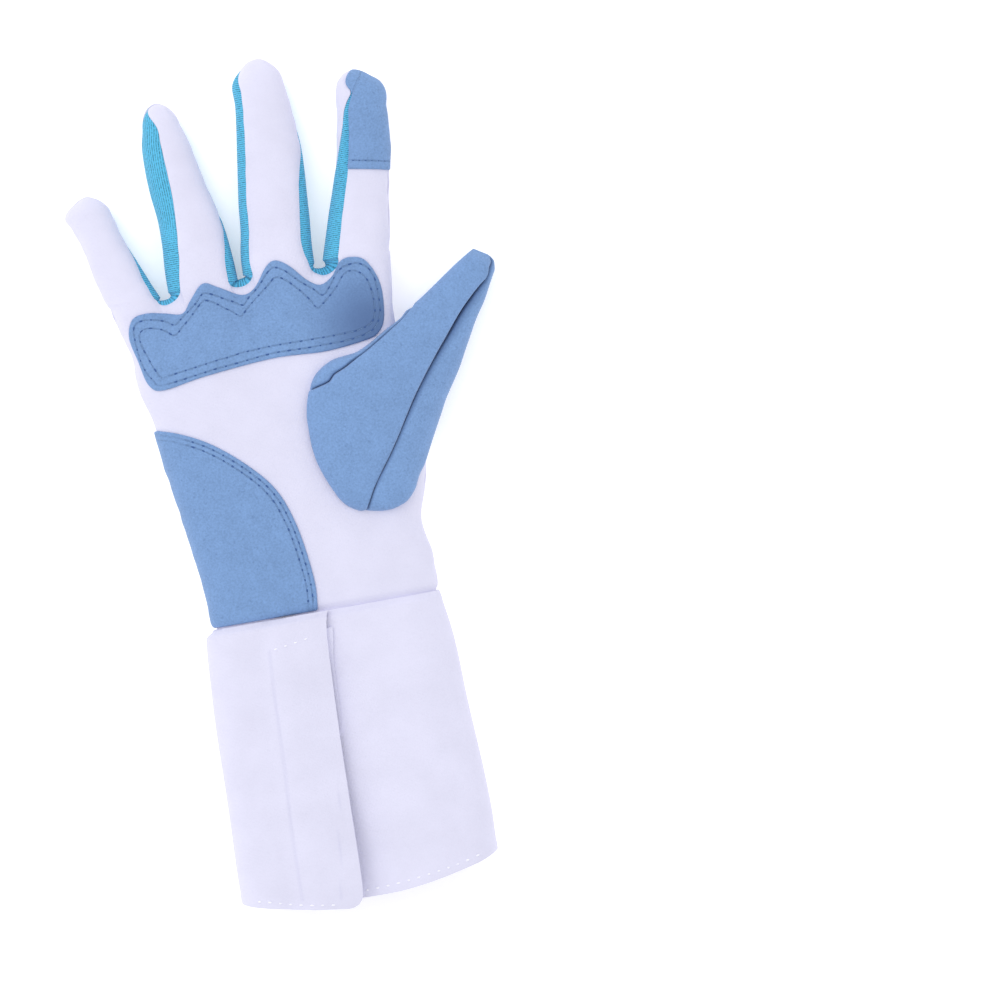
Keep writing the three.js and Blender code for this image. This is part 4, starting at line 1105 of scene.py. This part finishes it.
def add_piece(name, points, triangles, material, slot, node=None, uv=None, layer="marks"):
    """One piece of the scene, with a UV map that holds numbers for its material."""
    mesh = bpy.data.meshes.new(name)
    mesh.from_pydata(to_frame(points).tolist(), [], triangles.tolist())
    mesh.polygons.foreach_set("use_smooth", np.ones(len(mesh.polygons), bool))
    mesh.set_sharp_from_angle(angle=SHARP_ANGLE)
    mesh.materials.append(material)
    if uv is not None:
        numbers = uv[triangles.ravel()].astype(np.float32).ravel()
        mesh.uv_layers.new(name=layer).data.foreach_set("uv", numbers)
    piece = new_object(name, mesh)
    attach(piece, "root")
    if node:
        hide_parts(node)


def bvh(points, triangles):
    return BVHTree.FromPolygons(points.tolist(), triangles.tolist())


def seen_from_above(tree, x, y):
    """The place and the normal of a surface at x and y, or None twice where it has none."""
    return tree.ray_cast(Vector((x, y, SKY)), Vector((0, 0, -1)))[:2]


def height_over(tree, points, default):
    hits = [seen_from_above(tree, x, y)[0] for x, y in points[:, :2]]
    return np.array([hit.z if hit else default for hit in hits])


# Hand cloth

SEAM_DITCH = 0.35
SEAM_WIDTH = 1.3
PUCKER = 0.16
PUCKER_LENGTH = 7.0
PUCKER_REACH = 5.0
HAND_WAVE = 0.22
HAND_WAVE_LENGTH = 45.0
HOLE_MARGIN = 2.5  # palm cloth left inside the thumb


def hand_relief(points, triangles, seed):
    """A shallow ditch with small puckers along the seams, and a gentle unevenness all over."""
    rim = points[np.unique(rim_edges(triangles))]
    rim = rim[rim[:, 1] > TUCK]
    distance, near = nearest(points, rim)
    wobble = ripple(rim, seed, PUCKER_LENGTH)[near]
    ditch = -SEAM_DITCH * np.exp(-((distance / SEAM_WIDTH) ** 2))
    relief = ditch + PUCKER * wobble * np.exp(-distance / PUCKER_REACH)
    relief += HAND_WAVE * ripple(points, seed + 1, HAND_WAVE_LENGTH)
    return relief * smooth(points[:, 1] / (2 * TUCK))


def shell(sheet, thickness, relief):
    """A sheet's outer and inner points, both moved by the same relief."""
    outer, triangles = sheet(0)
    inner = sheet(thickness)[0]
    moved = normals(outer, triangles) * relief(outer, triangles)[:, None]
    outer, inner = outer + moved, inner + moved
    for points in (outer, inner):
        points[:, 2] = np.maximum(points[:, 2], 0)
    return outer, inner, triangles


def hand_side(front, seed):
    def sheet(inset):
        return hand_sheet(front, inset)

    return shell(sheet, CLOTH, lambda points, faces: hand_relief(points, faces, seed))


palm_outer, palm_inner, palm_faces = hand_side(front=True, seed=1)
margin = inside_thumb(palm_outer) + HOLE_MARGIN
cloth, cloth_faces, _ = split(np.hstack([palm_outer, palm_inner]), palm_faces, -margin)
cloth, cloth_faces = compact(cloth, cloth_faces)
palm_wall = wall(cloth[:, :3], cloth[:, 3:], cloth_faces)
add_piece("palm_cloth", *palm_wall, cotton, "white_cotton", "palm_panel")
back = hand_side(front=False, seed=4)
add_piece("back_cloth", *wall(*back), cotton, "white_cotton", "back_panel")

# Gussets

GUSSET_EDGE = 1.5  # width of the edge that dips under the cotton
GUSSET_DIP = 0.5


def gusset(index):
    outer, triangles = gusset_sheet(index, 0)
    inner = gusset_sheet(index, CLOTH)[0]
    rows = outer.reshape(-1, GUSSET_COLUMNS + 1, 3)
    width = np.linalg.norm(np.diff(rows, axis=1), axis=2)
    across = np.pad(np.cumsum(width, 1), ((0, 0), (1, 0)))
    middle = rows[:, GUSSET_COLUMNS // 2]
    ahead = np.append(0, np.cumsum(np.linalg.norm(np.diff(middle, axis=0), axis=1)))
    uv = np.stack([across - across[:, -1:] / 2, ahead[:, None] + 0 * across], -1).reshape(-1, 2)
    edge = np.minimum(across, across[:, -1:] - across).ravel()
    dip = GUSSET_DIP * np.exp(-((edge / GUSSET_EDGE) ** 2))
    moved = normals(outer, triangles) * -dip[:, None]
    points, faces = wall(outer + moved, inner + moved, triangles)
    name = f"{FINGERS[index]['name']}_{FINGERS[index + 1]['name']}"
    if index:
        uv[:, 1] -= ahead[-1]
    uv = np.concatenate([uv, uv]) / 1000
    node = f"gusset_{name}"
    add_piece(f"knit_{name}", points, faces, knit, "turquoise_knit", node, uv, "strip")


for index in range(len(FINGERS) - 1):
    gusset(index)

# Patches

CURVE_STEPS = 8  # between two points of a curve
AT_ONCE = 2000  # points whose distances are worked out together, to spare memory
MARGIN = 2.0  # round a patch, within which the palm's triangles are looked at
LEAST_SLOPE = 0.7  # least share by which the way over the palm leaves it


def curve_through(points, closed):
    """A smooth curve through points, as a polyline."""
    points = np.array(points, float)
    if closed:
        padded = np.concatenate([points[-1:], points, points[:2]])
    else:
        padded = np.concatenate([points[:1], points, points[-1:]])
    u = (np.arange(CURVE_STEPS) / CURVE_STEPS)[:, None]
    parts = []
    for p0, p1, p2, p3 in zip(padded, padded[1:], padded[2:], padded[3:]):
        bend = 2 * p0 - 5 * p1 + 4 * p2 - p3
        parts.append(p1 + 0.5 * u * (p2 - p0 + u * (bend + u * (3 * p1 - p0 - 3 * p2 + p3))))
    if not closed:
        parts.append(points[-1:])
    return np.concatenate(parts)


def patch_outline(shares, size, place, corners=()):
    start = np.array([place[0] * KNUCKLE_WIDTH, place[1] * HAND_LENGTH])
    curve = curve_through(shares, closed=not corners)
    return start + np.concatenate([curve, np.array(corners).reshape(-1, 2)]) * size


def tip_outline():
    """The index fingertip's patch from its lower left corner, wider and longer than the finger."""
    f = FINGERS[INDEX]
    x = root_left(INDEX)
    top = f["root"] * HAND_LENGTH + f["length"]
    sides = x + TIP_PATCH_LEFT * f["width"], x + 2 * f["width"]
    feet = [top - TIP_PATCH_LENGTH - (at - x - f["width"]) * TIP_PATCH_SLANT for at in sides]
    corners = [(sides[0], feet[0]), (sides[1], feet[1])]
    return np.array(corners + [(sides[1], top + f["width"]), (sides[0], top + f["width"])])


def outline_level(points, outline):
    """Distance from points to a closed outline seen from above, below zero inside it."""
    level = np.empty(len(points))
    start, end = outline, np.roll(outline, -1, 0)
    side = end - start
    for first in range(0, len(points), AT_ONCE):
        p = points[first : first + AT_ONCE, None, :2]
        share = np.clip(((p - start) * side).sum(2) / (side**2).sum(1), 0, 1)
        distance = np.linalg.norm(p - start - share[..., None] * side, axis=2).min(1)
        spans = (start[:, 1] > p[..., 1]) != (end[:, 1] > p[..., 1])
        rise = np.where(side[:, 1] == 0, 1, side[:, 1])
        reach = start[:, 0] + (p[..., 1] - start[:, 1]) * side[:, 0] / rise
        inside = (spans & (p[..., 0] < reach)).sum(1) % 2 == 1
        level[first : first + AT_ONCE] = np.where(inside, -distance, distance)
    return level


# The way from the palm to a patch at each point, half way between its normal and straight up
palm_normals = normals(palm_outer, palm_faces)
OVER_PALM = palm_normals + (0, 0, 1)
OVER_PALM /= np.linalg.norm(OVER_PALM, axis=1, keepdims=True)
OVER_PALM /= np.maximum((OVER_PALM * palm_normals).sum(1, keepdims=True), LEAST_SLOPE)


def patch(name, outline, node, material, marks):
    """A suede patch that follows the palm, with a rounded cut edge."""
    low, high = outline.min(0) - MARGIN, outline.max(0) + MARGIN
    near = ((palm_outer[:, :2] > low) & (palm_outer[:, :2] < high)).all(1)
    faces = palm_faces[near[palm_faces].all(1)]
    top = palm_outer + OVER_PALM * (PATCH_GAP + SUEDE)
    under = palm_outer + OVER_PALM * PATCH_GAP
    data, faces = compact(np.hstack([top, under]), faces)
    level = outline_level(data, outline)
    data = np.hstack([data, level[:, None]])
    data, middle, rest = split(data, faces, level + RIM)
    data, edge, _ = split(data, rest, data[:, 6])
    data, faces = compact(data, np.concatenate([middle, edge]))
    outer, inner, level = data[:, :3], data[:, 3:6], data[:, 6]
    fall = RIM_FALL * np.clip(1 + level / RIM, 0, 1) ** 2
    outer = mix(outer, inner, fall[:, None])
    uv = np.tile(marks(outer), (2, 1)) / 1000
    add_piece(name, *wall(outer, inner, faces), material, "blue_suede", node, uv)
    return bvh(outer, faces)


KNUCKLE_ROWS = [curve_through(row, closed=True) for row in (OUTER_ROW, INNER_ROW)]
HEEL_ROWS = (1.7, 3.6)  # distances of the stitches from the edge
TIP_ROW = 3.4
# A short crease near the fingertip, drawn as a line of painted shade and a slight dent in the
# grain's relief
TIP_CREASE = np.array([(47.2, 202.0), (50.2, 206.8)])
FAR = 20.0  # how far the heel's curved edge is led on past its ends


def row_marks(points):
    return np.stack([outline_level(points, row) for row in KNUCKLE_ROWS], 1)


def heel_marks(points):
    """Distances from the rows along the heel patch's curved edge, not round its corners."""
    curve = heel_outline[: -len(HEEL_CORNERS)]
    left = curve[:, 0].min() - 2 * FAR
    far = np.array([(left, curve[-1, 1]), (left, -FAR), (curve[0, 0], -FAR)])
    level = outline_level(points, np.concatenate([curve, far]))
    return np.stack([level + row for row in HEEL_ROWS], 1)


def beyond_line(points, line):
    """Signed distances of points from a line through two points, seen from above."""
    ahead = (line[1] - line[0]) / np.linalg.norm(line[1] - line[0])
    offset = points[:, :2] - line[0]
    return offset @ np.array([-ahead[1], ahead[0]]), offset @ ahead


def tip_marks(points):
    above, _ = beyond_line(points, index_outline[:2])
    beside, up = beyond_line(points, TIP_CREASE)
    length = np.linalg.norm(TIP_CREASE[1] - TIP_CREASE[0])
    away = np.maximum(np.maximum(-up, up - length), 0)
    return np.stack([above - TIP_ROW, beside + np.copysign(away, beside)], 1)


knuckle_outline = patch_outline(KNUCKLE_OUTLINE, KNUCKLE_PATCH, KNUCKLE_PLACE)
heel_outline = patch_outline(HEEL_OUTLINE, HEEL_PATCH, HEEL_PLACE, HEEL_CORNERS)
index_outline = tip_outline()
knuckle_tree = patch("knuckle_suede", knuckle_outline, "knuckle_patch", knuckle_suede, row_marks)
heel_tree = patch("heel_suede", heel_outline, "heel_patch", suede, heel_marks)
tip_tree = patch("index_tip_suede", index_outline, "index_tip_patch", suede, tip_marks)

# Thumb

GROOVE = 1.2
GROOVE_WIDTH = 0.7
LEAF_FADE = 5.0  # over which a leaf comes back up beside a seam
SHORT_STEP = 0.9
THUMB_WAVE = 0.25
THUMB_WAVE_LENGTH = 30.0
NOWHERE = 1000.0  # a height for points that have no palm under them

palm_tree = bvh(palm_outer, palm_faces)
seam_share = np.linspace(-0.08, 1, 500)
long_curve = thumb_point(seam_share, long_seam(seam_share), 0)
short_curve = thumb_point(seam_share, short_seam(seam_share), 0)


def thumb_leaf(name, start, end, under, node, seed, material):
    """One leaf of the thumb between two seams, cut off where it goes into the palm."""
    marks = []

    def relief(points, _):
        away, number = nearest(points, long_curve)
        beside, other = nearest(points, short_curve)
        deep = along(LEAF_STEPS, "step", seam_share[number])
        lines = along(LEAF_STEPS, "line", seam_share[number])
        widths = along(SHORT_LINES, "line", seam_share[other])
        # distances from the seams, which set the painted shade along them
        marks.append(np.stack([away / lines, beside / widths], 1) / 1000)
        total = -GROOVE * lines * np.exp(-((away / GROOVE_WIDTH) ** 2))
        total -= GROOVE * np.exp(-((beside / GROOVE_WIDTH) ** 2))
        if under:
            total -= deep * np.exp(-away / LEAF_FADE) + SHORT_STEP * np.exp(-beside / LEAF_FADE)
        return total + THUMB_WAVE * ripple(points, seed, THUMB_WAVE_LENGTH)

    outer, inner, faces = shell(lambda inset: thumb_sheet(start, end, inset), THUMB_SUEDE, relief)
    over = outer[:, 2] - height_over(palm_tree, outer, NOWHERE)
    past = outer[:, 0] - palm_edge(outer[:, 1], "right")
    level = -(np.maximum(over, past) + THUMB_SUNK)
    data, faces, _ = split(np.hstack([outer, inner, marks[0]]), faces, level)
    data, faces = compact(data, faces)
    uv = np.tile(data[:, 6:], (2, 1))
    add_piece(name, *wall(data[:, :3], data[:, 3:6], faces), material, "blue_suede", node, uv)


def long_round(share):
    return long_seam(share) + 360


thumb_leaf("thumb_front_suede", long_seam, short_seam, False, "thumb_front", 11, thumb_suede)
thumb_leaf("thumb_back_suede", short_seam, long_round, True, "thumb_back", 12, leaf_suede)

# Cuff

HEM = 3.2
HEM_RISE = 0.3
HEM_SLOPE = 1.5
SEAM_ROUND = 0.45  # how far the cuff's upper edge rolls in
SEAM_ROUND_WIDTH = 1.6
CUFF_WAVE = 0.3
CUFF_WAVE_LENGTH = 40.0
CUFF_CALM = 10.0  # length over which the waves grow from the cuff's seam
FOLD_FADE = 12.0  # length over which a fold fades at its ends
MARK_STEP = 0.5
# The two faint lines of painted shade in the creases down the flap
CREASES = (
    [(-24, -12), (-25, -30), (-26, -60), (-27.5, -85), (-28, -112)],
    [(-2.5, -40), (-5.5, -70), (-8.5, -85), (-10.5, -100), (-12.5, -114)],
)
# Creases and soft ridges down the flap and the cuff: two ends, height and width
FLAP_FOLDS = (
    ((-24, -18), (-28, -102), -0.28, 0.9),
    ((-30, -15), (-35, -105), 0.3, 5.0),
    ((-5.5, -12), (-8.5, -80), -0.22, 0.9),
    ((-8.5, -80), (-12, -113), -0.3, 1.0),
    ((-4, -45), (-8, -112), 0.35, 1.6),
    ((-16, -30), (-18, -110), -0.15, 5.0),
)
BODY_FOLDS = (
    ((33, -5), (31, -105), 0.5, 9.0),
    ((18, -20), (14, -110), -0.25, 7.0),
)


def cuff_relief(columns, seed, folds):
    """The relief of a cuff panel whose last row, the hem, has so many points."""

    def relief(points, _):
        distance = nearest(points, points[-columns:])[0]
        total = HEM_RISE * (1 - smooth((distance - HEM) / HEM_SLOPE + 0.5))
        waves = ripple(points, seed, CUFF_WAVE_LENGTH)
        total += CUFF_WAVE * smooth(-points[:, 1] / CUFF_CALM) * waves
        total -= SEAM_ROUND * np.exp(-((points[:, 1] / SEAM_ROUND_WIDTH) ** 2))
        above = points[:, 2] > CUFF_THICKNESS / 2
        for start, end, height, width in folds:
            beside, at = beyond_line(points, np.array([start, end], float))
            fade = smooth(at / FOLD_FADE) * smooth((math.dist(start, end) - at) / FOLD_FADE)
            total += above * height * fade * np.exp(-((beside / width) ** 2))
        return total

    return relief


def crease_marks(points, line):
    """Distances of points from a line, seen from above."""
    curve = sampled(np.array(line, float), MARK_STEP)[0]
    return nearest(points * (1, 1, 0), points_of(*curve.T, 0))[0]


body_shape = cuff_relief(CUFF_COLUMNS + 1, seed=21, folds=BODY_FOLDS)
flap_shape = cuff_relief(FLAP_COLUMNS + 1, seed=22, folds=FLAP_FOLDS)
body = shell(cuff_body, CUFF_CLOTH, body_shape)
flap = shell(cuff_flap, FLAP_CLOTH, flap_shape)
add_piece("cuff_cloth", *wall(*body), cuff_cotton, "cuff_cotton", "cuff_body")
flap_marks = np.stack([crease_marks(flap[0], line) for line in CREASES], 1) / 1000
flap_uv = np.tile(flap_marks, (2, 1))
add_piece("flap_cloth", *wall(*flap), flap_cotton, "cuff_cotton", "cuff_flap", flap_uv)

# The turned edge of the under layer that shows beside the flap
FACING_EDGE = named(
    "at x",
    [(-50, -2.2), (-46, -0.9), (-40, -0.2), (-30, 0.2), (-20, 0.7), (-12, 1.9), (-7, 2.5)],
)
FACING_WIDTH = 5.0
FACING_CLOTH = 1.0
FACING_GAP = 0.1
FACING_ROWS = 60
FACING_COLUMNS = 12
FACING_CROWD = 1.5  # how closely its columns crowd towards its edge
body_tree = bvh(body[0], body[2])
flap_tree = bvh(flap[0], flap[2])


def facing():
    rows = []
    for y in np.linspace(FACING_EDGE["at"][0], FACING_EDGE["at"][-1], FACING_ROWS):
        edge = along(FACING_EDGE, "x", y)
        x = edge - FACING_WIDTH * (1 - np.linspace(0, 1, FACING_COLUMNS)) ** FACING_CROWD
        row = points_of(x, y, 0)
        row[:, 2] = height_over(body_tree, row, 0) + FACING_GAP
        rows.append(row)
    lower = np.concatenate(rows)
    return wall(lower + (0, 0, FACING_CLOTH), lower, grid(FACING_ROWS, FACING_COLUMNS))


add_piece("slit_facing", *facing(), cuff_cotton, "cuff_cotton")

# Stitches

SIDES = 6
SQUAT = 0.6  # height of a thread's section over its width
BLUNT = 1.03  # above 1, a thread's ends are cut off bluntly
PATH_STEPS = 10  # points of a row's path on each millimetre
THREAD_STEPS = 7  # places along a thread
HOLE_STEPS = 5  # the same for a needle hole
HOLE_LIFT = 0.05
# Least and most of each size that varies, as shares of what is given
PITCH_SPREAD = (0.93, 1.07)
THREAD_SPREAD = (0.85, 1.1)
HOLE_LENGTHS = (1.2, 2.7)
HOLE_SPREAD = (0.7, 1.0)
SUEDE_STITCH = {"pitch": 4.3, "gap": 1.4, "radius": 0.11, "hole": 0.33}
TIP_STITCH = {"pitch": 2.6, "gap": 0.8, "radius": 0.1, "hole": 0.2}
HEM_STITCH = {"pitch": 4.2, "gap": 2.9, "radius": 0.35, "hole": 0}
INSET_STEP = 0.4
UNFOLDED = 0.96  # share of its distance that a moved point keeps where the curve doesn't fold
HEEL_ROW_START = (-44, 1.0)  # the heel's rows lie beyond this place
TIP_ROW_SHIFT = (0.4, TIP_ROW)  # of the index fingertip's row, from the foot of its patch


def bead(path, up, radius):
    """A closed tube along a short path, with rounded ends and flattened where it lies."""
    at = np.linspace(-1, 1, len(path))
    turn = np.linspace(0, 2 * math.pi, SIDES + 1)[:-1]
    beside = np.cross(path[-1] - path[0], up)
    beside /= np.linalg.norm(beside)
    width = radius * np.sqrt(BLUNT - at**4)[:, None, None]
    around = np.cos(turn)[:, None] * beside + SQUAT * np.sin(turn)[:, None] * up
    points = (path[:, None] + width * around).reshape(-1, 3)
    triangles = []
    for row in range(len(path) - 1):
        a = row * SIDES + np.arange(SIDES)
        b = row * SIDES + (np.arange(SIDES) + 1) % SIDES
        triangles += [np.stack([a, b + SIDES, b], 1), np.stack([a, a + SIDES, b + SIDES], 1)]
    last = len(points) - SIDES
    fan = np.array([[0, k, k + 1] for k in range(1, SIDES - 1)])
    return points, np.concatenate([*triangles, fan, last + fan[:, ::-1]])


def join(beads):
    starts = np.cumsum([0] + [len(points) for points, _ in beads])
    points = np.concatenate([points for points, _ in beads])
    return points, np.concatenate([faces + start for (_, faces), start in zip(beads, starts)])


def stitch_row(curve, tree, pitch, gap, radius, hole, seed):
    """Threads along a curve seen from above, and the needle holes between them as dark beads of
    painted shade.
    """
    rng = np.random.default_rng(seed)
    path, _ = sampled(np.asarray(curve, float), 1 / PATH_STEPS)
    threads, holes = [], []

    def on_surface(start, end, steps, lift):
        spots = []
        for number in np.linspace(start, end, steps).astype(int):
            place, up = seen_from_above(tree, *path[min(number, len(path) - 1)])
            if place is None:
                return None, None
            spots.append(np.array(place))
        arch = 1 - np.linspace(-1, 1, steps)[:, None] ** 2
        return np.array(spots) + np.array(up) * lift * arch, np.array(up)

    at = 0.0
    while at + pitch < len(path) / PATH_STEPS:
        step = pitch * rng.uniform(*PITCH_SPREAD)
        start, end = (at + gap / 2) * PATH_STEPS, (at + step - gap / 2) * PATH_STEPS
        spots, up = on_surface(start, end, THREAD_STEPS, radius / 2)
        if spots is not None:
            threads.append(bead(spots, up, radius * rng.uniform(*THREAD_SPREAD)))
        if hole:
            size = hole * rng.uniform(*HOLE_LENGTHS)
            start, end = (at - size) * PATH_STEPS + 1, (at + size) * PATH_STEPS + 1
            spots, up = on_surface(start, end, HOLE_STEPS, HOLE_LIFT)
            if spots is not None and at > size:
                holes.append(bead(spots, up, hole * rng.uniform(*HOLE_SPREAD)))
        at += step
    return threads, holes


def stitches(name, curves, tree, material, slot, seed, sizes):
    threads, holes = [], []
    for number, curve in enumerate(curves):
        row = stitch_row(curve, tree, seed=seed + number, **sizes)
        threads += row[0]
        holes += row[1]
    add_piece(name, *join(threads), material, slot)
    # the needle holes, as dark beads of painted shade
    if holes:
        add_piece(f"{name}_holes", *join(holes), hole_shade_blue, slot)


def inset_curve(outline, distance):
    """An outline moved inwards by a distance, as a polyline without its folds."""
    path, _ = sampled(np.concatenate([outline, outline[:1]]), INSET_STEP)
    ahead = np.roll(path, -1, 0) - np.roll(path, 1, 0)
    ahead /= np.linalg.norm(ahead, axis=1, keepdims=True)
    moved = path + np.stack([ahead[:, 1], -ahead[:, 0]], 1) * distance
    return moved[outline_level(moved, outline) < -UNFOLDED * distance]


def heel_row(distance):
    """A row of stitches along the heel patch's curved edge alone."""
    curve = inset_curve(heel_outline[::-1], distance)
    level = outline_level(curve, heel_outline[: -len(HEEL_CORNERS)])
    beside = np.abs(level) < distance + INSET_STEP
    return curve[beside & (curve > HEEL_ROW_START).all(1)]


def blue_stitches(name, curves, tree, seed, sizes):
    stitches(name, curves, tree, blue_thread, "blue_suede", seed, sizes)


def white_stitches(name, rows, tree, seed):
    curves = [curve_through(row, closed=False) for row in rows]
    stitches(name, curves, tree, white_thread, "cuff_cotton", seed, HEM_STITCH)


closed_rows = [np.concatenate([row, row[:1]]) for row in KNUCKLE_ROWS]
blue_stitches("knuckle_stitches", closed_rows, knuckle_tree, 31, SUEDE_STITCH)
heel_rows = [heel_row(distance) for distance in HEEL_ROWS]
blue_stitches("heel_stitches", heel_rows, heel_tree, 41, SUEDE_STITCH)
blue_stitches("tip_stitches", [index_outline[:2] + TIP_ROW_SHIFT], tip_tree, 51, TIP_STITCH)
white_stitches("hem_stitches", [HEM_ROW], body_tree, 61)
white_stitches("flap_stitches", [FLAP_HEM_ROW, FLAP_TOP_ROW], flap_tree, 71)

# Floor, light and camera

FLOOR = 4.0  # half its width, in metres
FLOOR_DROP = 0.0002
FLOOR_WHITE = (0.92, 0.92, 0.93)
FLOOR_GLOW = 0.3
KEY_PLACE = (-1.6, 1.4, 2.2)
KEY_SIZE = 2.4
KEY_POWER = 20
SKY_LIGHT = 1.02
WHITE = (1, 1, 1, 1)

corners = [(x * FLOOR, y * FLOOR, -FLOOR_DROP) for x, y in ((-1, -1), (1, -1), (1, 1), (-1, 1))]
floor_mesh = bpy.data.meshes.new("floor")
floor_mesh.from_pydata(corners, [], [range(4)])
pale = plain_material("floor", FLOOR_WHITE, 0.9)
glow = pale.node_tree.nodes["Principled BSDF"].inputs
glow["Emission Color"].default_value = WHITE
glow["Emission Strength"].default_value = FLOOR_GLOW
floor_mesh.materials.append(pale)
floor = new_object("floor", floor_mesh)

key_light = bpy.data.lights.new("key", "AREA")
key_light.size = KEY_SIZE
key_light.energy = KEY_POWER
key = new_object("key", key_light)
key.location = KEY_PLACE
key.rotation_euler = Vector(KEY_PLACE).to_track_quat("Z", "Y").to_euler()

world = bpy.data.worlds.new("studio")
world.use_nodes = True
background = world.node_tree.nodes["Background"].inputs
background["Color"].default_value = WHITE
background["Strength"].default_value = SKY_LIGHT
bpy.context.scene.world = world
bpy.context.scene.view_settings.view_transform = "Standard"

# The photograph's frame, in the pattern's millimetres
PHOTO_MIDDLE = (77.1, 30.9)
PHOTO_WIDTH = 400.4
PHOTO_TURN = -10.0
LENS = 300.0
SENSOR = 36.0
FARTHEST = 20  # what the camera sees, in metres

camera = new_object("camera", bpy.data.cameras.new("camera"))
camera.data.lens = LENS
camera.data.sensor_width = SENSOR
camera.data.clip_end = FARTHEST
distance = PHOTO_WIDTH * LENS / SENSOR + PALM_THICKNESS / 2
camera.location = to_frame((*PHOTO_MIDDLE, distance))
camera.rotation_euler = (0, 0, math.radians(PHOTO_TURN))
bpy.context.scene.camera = camera
